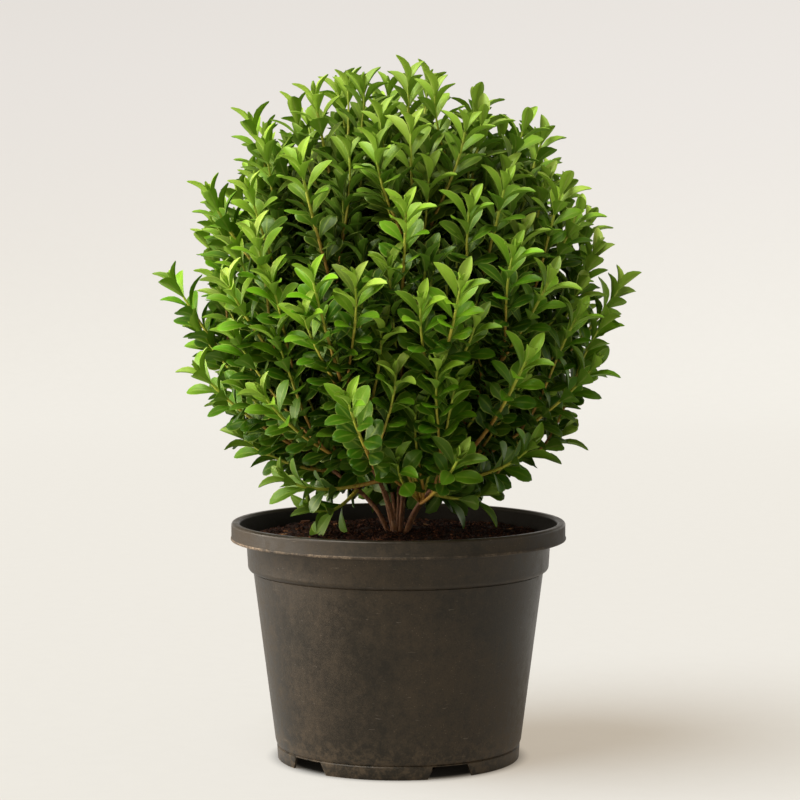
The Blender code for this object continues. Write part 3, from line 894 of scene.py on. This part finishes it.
def tube(name, points, radii):
    """A closed round tube through the points, as a mesh."""
    curve = bpy.data.curves.new(name, "CURVE")
    curve.dimensions = "3D"
    curve.bevel_depth = 1
    curve.bevel_resolution = (STEM_SIDES - 4) // 2
    curve.use_fill_caps = True
    spline = curve.splines.new("POLY")
    spline.points.add(len(points) - 1)
    for corner, point, radius in zip(spline.points, points, radii):
        corner.co = (*point, 1)
        corner.radius = radius
    obj = bpy.data.objects.new(name, curve)
    bpy.context.scene.collection.objects.link(obj)
    mesh = baked_down(obj)
    bm = bmesh.new()
    bm.from_mesh(mesh)
    bmesh.ops.remove_doubles(bm, verts=bm.verts, dist=0.00001)
    bmesh.ops.recalc_face_normals(bm, faces=bm.faces)
    bm.to_mesh(mesh)
    bm.free()
    return mesh


def corners_of(name):
    """A CAD node's corners, each once."""
    found = {tuple(round(value, 7) for value in v.co) for v in frame["nodes"][name].data.vertices}
    return [Vector(corner) for corner in sorted(found)]


def middle_of(points):
    return sum(points, Vector()) / len(points)


def stem_line(name):
    """A CAD stem's centre line from its foot to its end, as points and radii."""
    corners = corners_of(name)
    foot = min(corners, key=lambda corner: corner.z)
    end = max(corners, key=lambda corner: (corner - foot).length)
    corners.sort(key=lambda corner: (corner - foot).dot(end - foot))
    points, radii = [], []
    for i in range(0, len(corners), RING_CORNERS):
        ring = corners[i : i + RING_CORNERS]
        points.append(middle_of(ring))
        radii.append(sum((corner - points[-1]).length for corner in ring) / RING_CORNERS)
    return points, radii


def finer(points, radii, steps):
    """The same line with more points, rounded where it bends."""
    fine_points, fine_radii = [], []
    for i in range(len(points) - 1):
        before = points[max(i - 1, 0)]
        after = points[min(i + 2, len(points) - 1)]
        span = points[i + 1] - points[i]
        first = points[i] + (points[i + 1] - before).normalized() * span.length / 3
        second = points[i + 1] - (after - points[i]).normalized() * span.length / 3
        run = interpolate_bezier(points[i], first, second, points[i + 1], steps + 1)
        last = i == len(points) - 2
        for k in range(steps + last):
            fine_points.append(run[k])
            fine_radii.append(radii[i] + (radii[i + 1] - radii[i]) * k / steps)
    return fine_points, fine_radii


def make_stems(material):
    """A bark-covered stem for each CAD stem. Gives each stem's centre line, for the shoots to leave."""
    lines = []
    names = sorted(name for name in frame["nodes"] if name.startswith("woody_stem"))
    for number, name in enumerate(names):
        points, radii = stem_line(name)
        lines.append(points)
        below = points[0] + (points[0] - points[1]) * 0.6
        points, radii = finer([below] + points, [radii[0]] + radii, 4)
        swollen = []
        for point, radius in zip(points, radii):
            knots = noise.noise(point * 160 + Vector((number, 0, 0)))
            swollen.append(radius * (STEM_SHARE + KNOT_SHARE * knots))
        mesh = tube(name + "_bark", points, swollen)
        smooth(mesh, 60)
        add_piece(name + "_bark", mesh, "bark", [name], material)
    return lines


def make_root_crown(material):
    """The knuckle of wood that the stems spring from, half in the soil."""
    radius = (ROOT_HIGH.x - ROOT_LOW.x) / 2
    bm = bmesh.new()
    bmesh.ops.create_icosphere(bm, subdivisions=4, radius=1)
    for vertex in bm.verts:
        way = vertex.co.normalized()
        lump = 1 + 0.16 * noise.fractal(way * 2.2, 0.7, 2.0, 3) + 0.05 * noise.noise(way * 9)
        vertex.co.x = way.x * radius * lump * ROOT_SHARE
        vertex.co.y = way.y * radius * lump * ROOT_SHARE
        vertex.co.z = ROOT_HIGH.z - ROOT_DEPTH + way.z * ROOT_DEPTH * lump
    mesh = mesh_from(bm, "root_knuckle")
    smooth(mesh, 70)
    add_piece("root_knuckle", mesh, "bark", ["root_crown"], material)


# Leaves


def leaf_material():
    """Boxwood leaf: yellow-green when young to deep glossy green, with a pale midrib, margin and underside;
    the margin partly a painted highlight. It has painted shade deep in the crown and low on it, painted light
    on top."""
    material, graph = new_material("boxwood_leaf")
    place = graph.place()
    blade = graph.node("ShaderNodeUVMap", uv_map="blade")[0]
    parts = graph.split(blade)
    under = parts["X"] > 1.0
    across = abs(parts["X"] - under - 0.5) * 2
    along = parts["Y"]
    age = graph.attribute("age")
    tone = graph.attribute("tone")
    cloud = graph.noise(place, 240, 3, 0.6)
    colour = graph.ramp(
        age + cloud * 0.16 - 0.08,
        (0.0, paint(186, 208, 88)),
        (0.14, paint(152, 194, 46)),
        (0.34, paint(110, 174, 14)),
        (0.60, paint(66, 124, 4)),
        (1.0, paint(34, 76, 3)),
    )
    colour = graph.mix(graph.fit(tone, 0.55, 1.0) * 0.35, colour, paint(132, 166, 30))
    # Low tone darkens a leaf. It varies at random, but for the shaded inner leaves it is kept low as painted
    # shade.
    colour = graph.mix((1 - graph.fit(tone, 0.0, 0.4)) * 0.6, colour, paint(32, 68, 10))
    spot = graph.split(place)
    from_centre = (spot["X"] ** 2 + spot["Y"] ** 2 + (spot["Z"] - CROWN_CENTRE.z) ** 2) ** 0.5
    # Painted shade: leaves deep in the crown are darkened, and let less light through.
    painted_deep_shade = 1 - graph.fit(from_centre, 0.096, 0.150)
    colour = graph.mix(painted_deep_shade * 0.84, colour, paint(12, 34, 2))
    # Painted shade: leaves low on the crown are darkened, and let less light through.
    low = 1 - graph.fit(spot["Z"], 0.17, 0.33)
    colour = graph.mix(low * 0.5, colour, paint(28, 60, 5))
    # Painted light: leaves high on the crown are paler.
    colour = graph.mix(graph.fit(spot["Z"], 0.32, 0.46) * 0.50, colour, paint(164, 190, 72))
    veins = graph.maths("SINE", along * 150 - across * 42) * 0.5 + 0.5
    colour = graph.mix(veins * 0.08 * (1 - under), colour, paint(140, 174, 60))
    # The pale margin is partly the leaf's own and partly a painted highlight where its edge catches the
    # light.
    margin = graph.fit(across, 0.80, 0.96)
    colour = graph.mix(margin * 0.5, colour, paint(190, 206, 92))
    midrib = (1 - graph.fit(across, 0.05, 0.16)) * (1 - graph.fit(along, 0.55, 1.0) * 0.7)
    colour = graph.mix(midrib * 0.42, colour, paint(160, 184, 66))
    pale = graph.mix(graph.fit(age, 0.0, 0.5), paint(140, 174, 52), paint(96, 134, 38))
    pale = graph.mix(midrib * 0.5, pale, paint(172, 188, 96))
    colour = graph.mix(under * 0.85, colour, pale)
    stalk = 1 - graph.fit(along, 0.05, 0.13)
    colour = graph.mix(stalk * 0.7, colour, paint(160, 166, 54))
    # More painted shade, low on the crown and deep in it.
    colour = graph.mix(low * 0.42 + painted_deep_shade * 0.12, colour, paint(18, 46, 4))
    roughness = 0.37 - graph.fit(age, 0.1, 0.6) * 0.10 + cloud * 0.12 + under * 0.22
    relief = veins * 0.25 + cloud * 0.6 - midrib * 0.8
    normal = graph.bump(relief, 0.28, 0.0004)
    inputs = {"Base Color": colour, "Roughness": roughness, "Normal": normal}
    inputs.update({"Specular IOR Level": 0.40, "Specular Tint": (0.86, 1.0, 0.52, 1)})
    skin = graph.node("ShaderNodeBsdfPrincipled", inputs)[0]
    glow = graph.node("ShaderNodeBsdfTranslucent", {"Color": paint(146, 188, 24)})[0]
    leaf = graph.node("ShaderNodeMixShader", (0.21 - painted_deep_shade * 0.11 - low * 0.06, skin, glow))[0]
    graph.node("ShaderNodeOutputMaterial", {"Surface": leaf})
    return material


def twig_material():
    """Green-gold at a twig's tip, through orange-brown to brown, ridged below each leaf."""
    material, graph = new_material("boxwood_twig")
    place = graph.place()
    age = graph.attribute("age")
    ridges = graph.noise(graph.stretched(place, (1, 1, 0.3)), 700, 3, 0.6)
    colour = graph.ramp(
        age + ridges * 0.3 - 0.15,
        (0.0, paint(160, 180, 56)),
        (0.18, paint(168, 166, 50)),
        (0.36, paint(158, 122, 42)),
        (0.62, paint(128, 80, 36)),
        (1.0, paint(84, 52, 32)),
    )
    colour = graph.mix(graph.fit(ridges, 0.55, 0.68) * 0.5, colour, paint(70, 44, 22))
    normal = graph.bump(ridges, 0.5, 0.0004)
    finish_material(graph, Base_Color=colour, Roughness=0.55 + ridges * 0.2, Normal=normal)
    return material


LEAF_COLUMNS = (-1, -0.55, 0, 0.55, 1)  # shares of half the width, in which a leaf's faces are laid
LEAF_ROWS = (0, 0.09, 0.28, 0.48, 0.66, 0.82, 0.95, 1)  # and shares of its length
SHADE_COLUMNS = (-1, 0, 1)
SHADE_ROWS = (0, 0.09, 0.40, 0.70, 0.93, 1)
STALK_SHARE = 0.09
STALK_HALF_WIDTH = 0.0006
BLADE_THICKNESS = 0.0003
MIDRIB_THICKNESS = 0.00055
SPINE_STEPS = 60  # in which a leaf's droop is reckoned
DROOP_CURVE = 1.2


def half_width(share, width, belly, blunt):
    """Half a leaf's width at a share of its length."""
    if share <= STALK_SHARE:
        return STALK_HALF_WIDTH
    blade = (share - STALK_SHARE) / (1 - STALK_SHARE)
    return max(STALK_HALF_WIDTH, width / 2 * math.sin(math.pi * blade**belly) ** blunt)


def leaf_spine(length, bend):
    """Points along a leaf's middle, which droops more and more towards its tip."""
    spine = [Vector((0, 0, 0))]
    for i in range(SPINE_STEPS):
        angle = -math.radians(bend) * ((i + 0.5) / SPINE_STEPS) ** DROOP_CURVE
        spine.append(spine[-1] + Vector((0, math.cos(angle), math.sin(angle))) * length / SPINE_STEPS)
    return spine


def lay_faces(bm, upper, lower, marks):
    """Faces over and under a leaf, between its rows of corners. marks gives each corner's column and row."""
    blade = bm.loops.layers.uv.new("blade")
    for side, sheet in enumerate((upper, lower)):
        for first, second in zip(sheet, sheet[1:]):
            for i in range(len(first) - 1):
                ring = [first[i], first[i + 1], second[i + 1], second[i]]
                ring = [corner for k, corner in enumerate(ring) if corner is not ring[k - 1]]
                face = bm.faces.new(ring[::-1] if side else ring)
                face.smooth = True
                for loop in face.loops:
                    column, share = marks[loop.vert]
                    loop[blade].uv = (0.5 + column / 2 * 0.98 + side, share)


def leaf_form(name, shape, columns, rows):
    """One closed leaf along +Y, its upper side towards +Z, drooping by bend degrees along its length.

    belly over 1 puts the widest part nearer the tip, blunt under 1 rounds the ends, fold lifts the halves,
    roll turns the margins down, and notch draws the tip in. The blade's place on it is in its map, with the
    underside one further along."""
    length, width, belly, blunt, bend, fold, roll, notch = shape
    count = len(columns)
    bm = bmesh.new()
    spine = leaf_spine(length, bend)
    upper, lower, marks = [], [], {}
    for share in rows:
        angle = -math.radians(bend) * share**DROOP_CURVE
        lift = Vector((0, -math.sin(angle), math.cos(angle)))
        ahead = Vector((0, math.cos(angle), math.sin(angle)))
        centre = spine[round(share * SPINE_STEPS)]
        if share in (0, 1):
            tip = bm.verts.new(centre - ahead * (notch * length if share else 0))
            marks[tip] = (0, share)
            upper.append([tip] * count)
            lower.append([tip] * count)
            continue
        half = half_width(share, width, belly, blunt)
        top, bottom = [], []
        for column in columns:
            rise = half * (fold * abs(column) - roll * column**2)
            bow = ahead * half * 0.35 * (0 if share < 0.5 else -(column**2) * (0.6 - notch * 6))
            place = centre + Vector((column * half, 0, 0)) + lift * rise + bow
            corner = bm.verts.new(place)
            top.append(corner)
            marks[corner] = (column, share)
            if abs(column) < 1:
                thick = MIDRIB_THICKNESS if column == 0 else BLADE_THICKNESS
                corner = bm.verts.new(place - lift * min(thick, half * 0.8))
                marks[corner] = (column, share)
            bottom.append(corner)
        upper.append(top)
        lower.append(bottom)
    lay_faces(bm, upper, lower, marks)
    for edge in bm.edges:
        columns = {abs(marks[corner][0]) for corner in edge.verts if marks[corner][1] not in (0, 1)}
        edge.smooth = columns != {1}
    return mesh_from(bm, name)


LEAF_SHAPES = (  # from bud to old: length, width, belly, blunt, bend, fold, roll, notch
    (0.0105, 0.0032, 1.00, 0.85, 16, 0.9, -0.10, 0.0),
    (0.0215, 0.0072, 1.12, 0.76, 42, 0.60, -0.05, 0.0),
    (0.0262, 0.0087, 1.25, 0.68, 52, 0.48, 0.0, 0.0),
    (0.0252, 0.0101, 1.45, 0.58, 44, 0.36, 0.12, 0.0),
    (0.0228, 0.0109, 1.62, 0.54, 40, 0.40, 0.20, 0.0),
    (0.0208, 0.0116, 1.72, 0.51, 42, 0.28, 0.26, 0.0),
    (0.0190, 0.0120, 1.85, 0.50, 32, 0.22, 0.34, 0.0),
    (0.0178, 0.0117, 1.95, 0.50, 24, 0.18, 0.30, 0.03),
)


def leaf_forms():
    """Every age of leaf, in the order that a shoot picks them: finely made, then plainer for the shade."""
    fine = [leaf_form(f"leaf_{i}", shape, LEAF_COLUMNS, LEAF_ROWS) for i, shape in enumerate(LEAF_SHAPES)]
    plain = [leaf_form(f"shade_{i}", shape, SHADE_COLUMNS, SHADE_ROWS) for i, shape in enumerate(LEAF_SHAPES)]
    return fine + plain


# Shoots


def twig_wood(graph, lines, age, finish):
    """The twigs themselves: a round tube along each line."""
    wood = graph.store(lines, "age", age)
    ring = graph.node("GeometryNodeCurvePrimitiveCircle", {"Resolution": 8, "Radius": 1.0})[0]
    sweep = {"Curve": wood, "Profile Curve": ring, "Scale": graph.named("thickness"), "Fill Caps": True}
    wood = graph.node("GeometryNodeCurveToMesh", sweep)[0]
    wood = graph.changed("SetShadeSmooth", wood, {"Shade Smooth": True})
    return graph.changed("SetMaterial", wood, {"Material": finish})


def pair_spots(graph, given, lines, rank, line):
    """Two points for each pair of leaves, still out of place. Pairs are numbered from the tip, where they
    are closest together, and stop where the twig is bare."""
    pairs = given["Most pairs"]
    spots = graph.node("GeometryNodeCurveToPoints", {"Curve": lines, "Count": pairs}, mode="COUNT")[0]
    number = graph.maths("FLOOR", rank * (pairs - 1) + 0.5)
    from_tip = given["Internode"] * number * number / (number + given["Tip crowding"])
    from_tip = from_tip * graph.random(0.93, 1.07, given["Seed"] + 9, line)
    bare = from_tip > graph.named("leafy")
    spots = graph.changed("DeleteGeometry", spots, {"Selection": bare}, domain="POINT")
    spots = graph.store(spots, "from_tip", from_tip)
    spots = graph.store(spots, "number", number)
    inputs = {"Geometry": spots, "Amount": 2}
    doubled = graph.node("GeometryNodeDuplicateElements", inputs, domain="POINT")
    return graph.store(doubled[0], "twin", doubled["Duplicate Index"])


def leaf_turn(graph, given, tangent, number, line):
    """How a leaf is turned. The two of a pair point to opposite sides, and the next pair crosses them. A
    young leaf lies along the twig, and a grown one leans out and turns its face to the light."""
    seed = given["Seed"]
    position = graph.node("GeometryNodeInputPosition")[0]
    from_centre = graph.vector("NORMALIZE", graph.vector("SUBTRACT", position, given["Crown centre"]))
    facing = graph.vector("ADD", from_centre, (0, -0.3, 0))
    sideways = graph.vector("NORMALIZE", graph.vector("CROSS_PRODUCT", tangent, facing))
    crossed = graph.maths("FLOORED_MODULO", number, 2.0) * 2 - 1
    spin = crossed * given["Pair turn"] + graph.named("twin") * math.pi + graph.random(-0.2, 0.2, seed + 2)
    spin = spin + graph.random(-0.3, 0.3, seed + 1, line)
    outward = graph.rotated(sideways, tangent, spin)
    hinge = graph.vector("CROSS_PRODUCT", tangent, outward)
    grown = 1 - graph.maths("EXPONENT", (number + 0.25) * -0.40)
    lean = given["Grown lean"] * grown + graph.random(-0.16, 0.16, seed + 3)
    along = graph.rotated(tangent, hinge, lean)
    below = graph.rotated(outward, hinge, lean)
    light = graph.vector("NORMALIZE", graph.vector("ADD", from_centre, (0, -0.15, 0.9)))
    light = graph.scaled(light, given["Light pull"] * grown)
    inputs = {"Primary Axis": along, "Secondary Axis": graph.vector("SUBTRACT", light, below)}
    settings = {"primary_axis": "Y", "secondary_axis": "Z"}
    return graph.node("FunctionNodeAxesToRotation", inputs, **settings)[0]


def leaf_choice(graph, given, spots, from_tip, number, line):
    """The spots with each leaf's age and tone, and the number of its form. The first three pairs take the
    bud and the two youngest forms, and those below take the rest, older down the twig but mixed."""
    seed = given["Seed"]
    shaded = graph.named("shaded")
    youth = 1 - graph.fit(number, 0.5, 3.0)
    # The shaded inner leaves are given an older age and a low tone. The leaf material turns both darker, as
    # painted shade.
    age = from_tip / given["Age span"] + shaded * 0.4 + graph.random(-0.10, 0.10, seed + 4) * (1 - youth)
    age = age + graph.random(-0.06, 0.16, seed + 8, line)
    spots = graph.store(spots, "age", graph.clamped(age, 0.0, 1.0))
    spots = graph.store(spots, "tone", graph.random(0.0, 1.0, seed + 5) * (1 - shaded * 0.85))
    step = graph.maths("MINIMUM", number + shaded, 2.0)
    later = graph.fit(number, 2.5, 7.5) * 3.4 + graph.random(-0.6, 1.59, seed + 6)
    later = graph.clamped(later, 0.0, 4.99) + 3
    is_grown = number > 2.5
    form = graph.maths("FLOOR", step * (1 - is_grown) + later * is_grown) + shaded * len(LEAF_SHAPES)
    return spots, form


def leafy_shoot_tree(forms, leaf_finish, twig_finish):
    """Turns bare twig lines into leafy shoots: the twigs' wood, and crossed pairs of leaves that are closer,
    smaller and more upright towards each tip. Each pair spreads to both sides as seen from outside."""
    graph, given = geometry_tree(
        "leafy shoot",
        {
            "Most pairs": 24,
            "Internode": 0.0080,
            "Tip crowding": 1.0,
            "Grown lean": math.radians(41),
            "Pair turn": math.radians(42),
            "Age span": 0.085,
            "Light pull": 0.48,
            "Crown centre": CROWN_CENTRE,
            "Seed": 1,
        },
    )
    lines = graph.node("GeometryNodeMeshToCurve", {"Mesh": given["Geometry"]})[0]
    lines = graph.store(lines, "whole", graph.node("GeometryNodeSplineLength")["Length"], "CURVE")
    lines = graph.store(lines, "line", graph.node("GeometryNodeInputIndex")[0], "CURVE", "INT")
    lines = graph.store(lines, "rank", graph.node("GeometryNodeSplineParameter")["Factor"])
    whole = graph.named("whole")
    rank = graph.named("rank")
    line = graph.named("line", "INT")
    age = graph.clamped(whole * (1 - rank) / given["Age span"] * 0.5, 0.0, 1.0)
    wood = twig_wood(graph, lines, age, twig_finish)
    spots = pair_spots(graph, given, lines, rank, line)
    from_tip = graph.named("from_tip")
    number = graph.named("number")
    inputs = {"Curves": lines, "Length": whole - from_tip, "Curve Index": line}
    at = graph.node("GeometryNodeSampleCurve", inputs, mode="LENGTH")
    spots = graph.changed("SetPosition", spots, {"Position": at["Position"]})
    rotation = leaf_turn(graph, given, at["Tangent"], number, line)
    spots, form = leaf_choice(graph, given, spots, from_tip, number, line)
    size = graph.random(0.90, 1.16, given["Seed"] + 7)
    leaves = graph.repeated(spots, forms, form, rotation, size)
    return close_tree(graph, leaves, leaf_finish, wood)


BARE_HEIGHT = 0.040  # above the roots, at the front, the stems are bare
BARE_REACH = 0.036  # to either side
LEAST_LEAFY = 0.030
UPWARD = Vector((0, 0, 0.35))  # how strongly a shoot's tip is drawn up, against a way of 1
LEADER_RADII = (0.0015, 0.0008)  # at its base and tip
SIDE_RADII = (0.0010, 0.0007)
LEADER_LEAFY = 0.78  # share of its length that bears leaves
SIDE_LEAFY = 0.94
LEADER_STEPS = 20
SIDE_STEPS = 12
END_HANDLE = 0.35  # how long a line keeps its first way, as a share: from a stem's end,
FORK_HANDLE = 0.18  # from a stem's side,
SIDE_HANDLE = 0.30  # and from a leader
TIP_HANDLE = 0.36  # and how long it has its last one


def is_bare(point):
    away = point - ROOT_POINT
    return away.z < BARE_HEIGHT and abs(away.x) < BARE_REACH and away.y < 0.0


class Line:
    """A twig's course, with its thickness, the length that bears leaves, counted from the tip, and whether
    it is in the crown's shade."""

    def __init__(self, points, radii, leafy_share, shaded=0):
        self.points = points
        self.base_radius, self.tip_radius = radii
        self.shaded = shaded
        self.leafy = 0
        steps = [(b - a).length for a, b in zip(points, points[1:])]
        most = sum(steps) * leafy_share
        for point, step in zip(reversed(points), reversed(steps)):
            if self.leafy > most or (is_bare(point) and self.leafy > LEAST_LEAFY):
                break
            self.leafy += step

    def radius(self, share):
        return self.base_radius + (self.tip_radius - self.base_radius) * share


def growing_way(tip):
    """Which way a shoot points at its tip: away from the roots, and bent upward."""
    return ((tip - ROOT_POINT).normalized() + UPWARD).normalized()


def course(start, way, handle, tip, steps):
    """A smooth line from a start, first along way, ending as a shoot grows at the tip."""
    reach = (tip - start).length
    leave = start + way * reach * handle
    arrive = tip - growing_way(tip) * reach * TIP_HANDLE
    return interpolate_bezier(start, leave, arrive, tip, steps + 1)


def nearest_on(lines, point):
    """The nearest point of the stems to a point, the way the stem runs there, and if it is the stem's end."""
    best = None
    for points in lines:
        for i in range(len(points) - 1):
            span = points[i + 1] - points[i]
            share = min(1, max(0, (point - points[i]).dot(span) / span.length_squared))
            spot = points[i] + span * share
            gap = (point - spot).length
            if best is None or gap < best[0]:
                at_end = i == len(points) - 2 and share > 0.7
                best = (gap, spot, span.normalized(), at_end)
    return best[1:]


def leader_line(name, stems):
    """The main twig of a CAD shoot, drawn from its stem to just short of the shoot's tip."""
    corners = corners_of(name)
    corners.sort(key=lambda corner: (corner - ROOT_POINT).length)
    base = middle_of(corners[:4])
    tip = corners[-1]
    spot, way, at_end = nearest_on(stems, base)
    toward = (tip - spot).normalized()
    if not at_end:
        way = (toward - way * toward.dot(way)).normalized()
    handle = END_HANDLE if at_end else FORK_HANDLE
    points = course(spot, way, handle, tip - growing_way(tip) * YOUNG_REACH, LEADER_STEPS)
    return Line(points, LEADER_RADII, LEADER_LEAFY)


SIDE_LOWEST = -66
SIDE_SPACING = 10  # least angle between a side shoot's tip and any leader's
OUTER_TIPS = 200
INNER_TIPS = 330
LOW_TIPS = 36
INNER_SHARE = 0.60  # of the crown's radius, where the inner shoots' tips are
SIDE_LENGTH = 0.088  # wanted of an outer side shoot
SHADE_SIDE_LENGTH = 0.062  # and of an inner one
FORK_SPAN = (0.05, 0.85)  # the shares of a leader's length between which side shoots leave it
LOW_HALF_WIDTH = 0.060
LOW_HEIGHT = 0.040  # of the low tips' middle, above the roots
LOW_RISE = 0.014
LOW_FRONT = 0.014  # behind the roots
LOW_DEPTH = 0.045


def spread_ways(count, wobble, rng):
    """Directions spread evenly over a ball, each a little out of place."""
    golden = math.pi * (3 - math.sqrt(5))
    for i in range(count):
        rise = math.asin(1 - 2 * (i + 0.5) / count) + rng.uniform(-wobble, wobble)
        turn = i * golden + rng.uniform(-wobble, wobble)
        yield heading(math.degrees(turn), math.degrees(rise))


def side_tips(leaders, rng):
    """Where the side shoots end, and if in shade: an outer set between the leaders' tips, an inner set
    behind them, and a few low ones behind the stems."""
    leader_ways = [(leader.points[-1] - CROWN_CENTRE).normalized() for leader in leaders]
    lowest = math.sin(math.radians(SIDE_LOWEST))
    for way in spread_ways(OUTER_TIPS, 0.06, rng):
        near = min(math.degrees(way.angle(other)) for other in leader_ways)
        if way.z > lowest and near > SIDE_SPACING:
            low = max(0, -way.z - 0.35)
            radius = CROWN_RADIUS - YOUNG_REACH - rng.uniform(-0.004, 0.020) + 0.010 * low
            yield CROWN_CENTRE + way * radius, 0
    for way in spread_ways(INNER_TIPS, 0.12, rng):
        share = INNER_SHARE + rng.uniform(-0.16, 0.16) + 0.3 * max(0, -way.z - 0.5)
        yield CROWN_CENTRE + way * CROWN_RADIUS * share, 1
    for way in spread_ways(LOW_TIPS, 0.2, rng):
        behind = LOW_FRONT + abs(way.y) * LOW_DEPTH
        yield ROOT_POINT + Vector((way.x * LOW_HALF_WIDTH, behind, LOW_HEIGHT + way.z * LOW_RISE)), 1


def side_line(tip, shaded, leaders):
    """A side shoot to a tip, from the leader that it leaves most easily, and that leader's number. To leave
    at a wide angle costs as much as to start further from where it should."""
    best = None
    first, last = FORK_SPAN
    wanted = tip - growing_way(tip) * (SHADE_SIDE_LENGTH if shaded else SIDE_LENGTH)
    for number, leader in enumerate(leaders):
        count = len(leader.points)
        for i in range(int(count * first), int(count * last)):
            start = leader.points[i]
            way = (leader.points[i + 1] - start).normalized()
            angle = way.angle(tip - start)
            cost = (start - wanted).length + 0.04 * max(0, angle - 0.5) + 0.10 * max(0, angle - 1.0)
            if best is None or cost < best[0]:
                best = (cost, number, i, way)
    number, i, way = best[1:]
    leader = leaders[number]
    start = leader.points[i]
    bent = (way + (tip - start).normalized() * 0.9).normalized()
    base, end = SIDE_RADII
    base = min(base, leader.radius(i / (len(leader.points) - 1)) * 0.95)
    points = course(start, bent, SIDE_HANDLE, tip, SIDE_STEPS)
    return number, Line(points, (base, end), SIDE_LEAFY, shaded)


def lines_object(name, lines):
    """Twig lines as a mesh of edges, with what the shoots' tree reads at each point."""
    bm = bmesh.new()
    thickness = bm.verts.layers.float.new("thickness")
    leafy = bm.verts.layers.float.new("leafy")
    shaded = bm.verts.layers.float.new("shaded")
    for line in lines:
        corners = []
        for i, point in enumerate(line.points):
            corner = bm.verts.new(point)
            corner[thickness] = line.radius(i / (len(line.points) - 1))
            corner[leafy] = line.leafy
            corner[shaded] = line.shaded
            corners.append(corner)
        join_up(bm, corners)
    return object_from(bm, name)


# What the shoots' tree stores for its own use
PASSING_ATTRIBUTES = "whole line rank leafy shaded thickness from_tip number twin".split()


def make_crown(stems):
    """One leafy piece for each CAD shoot: its leader, and the side shoots that spring from it."""
    forms = form_collection("leaf forms", leaf_forms())
    tree = leafy_shoot_tree(forms, leaf_material(), twig_material())
    names = sorted(name for name in frame["nodes"] if name.startswith("leafy_shoot"))
    leaders = [leader_line(name, stems) for name in names]
    rng = random.Random(8)
    groups = [[leader] for leader in leaders]
    for tip, shaded in side_tips(leaders, rng):
        if not is_bare(tip):
            number, line = side_line(tip, shaded, leaders)
            groups[number].append(line)
    for number, (name, lines) in enumerate(zip(names, groups)):
        base = lines_object(name + "_lines", lines)
        piece_name = name.replace("leafy_shoot", "boxwood_shoot")
        mesh = run_tree(base, tree, {"Seed": 100 + 10 * number}, piece_name)
        bpy.data.objects.remove(base)
        for attribute in PASSING_ATTRIBUTES:
            if attribute in mesh.attributes:
                mesh.attributes.remove(mesh.attributes[attribute])
        add_piece(piece_name, mesh, "foliage", [name])
    remove_forms(forms)


bpy.context.scene.view_settings.view_transform = "Standard"
make_camera()
make_lights(make_stage())
make_pot()
soil = soil_material()
make_soil_bed(soil)
make_litter(soil)
bark = bark_material()
stem_lines = make_stems(bark)
make_root_crown(bark)
make_crown(stem_lines)
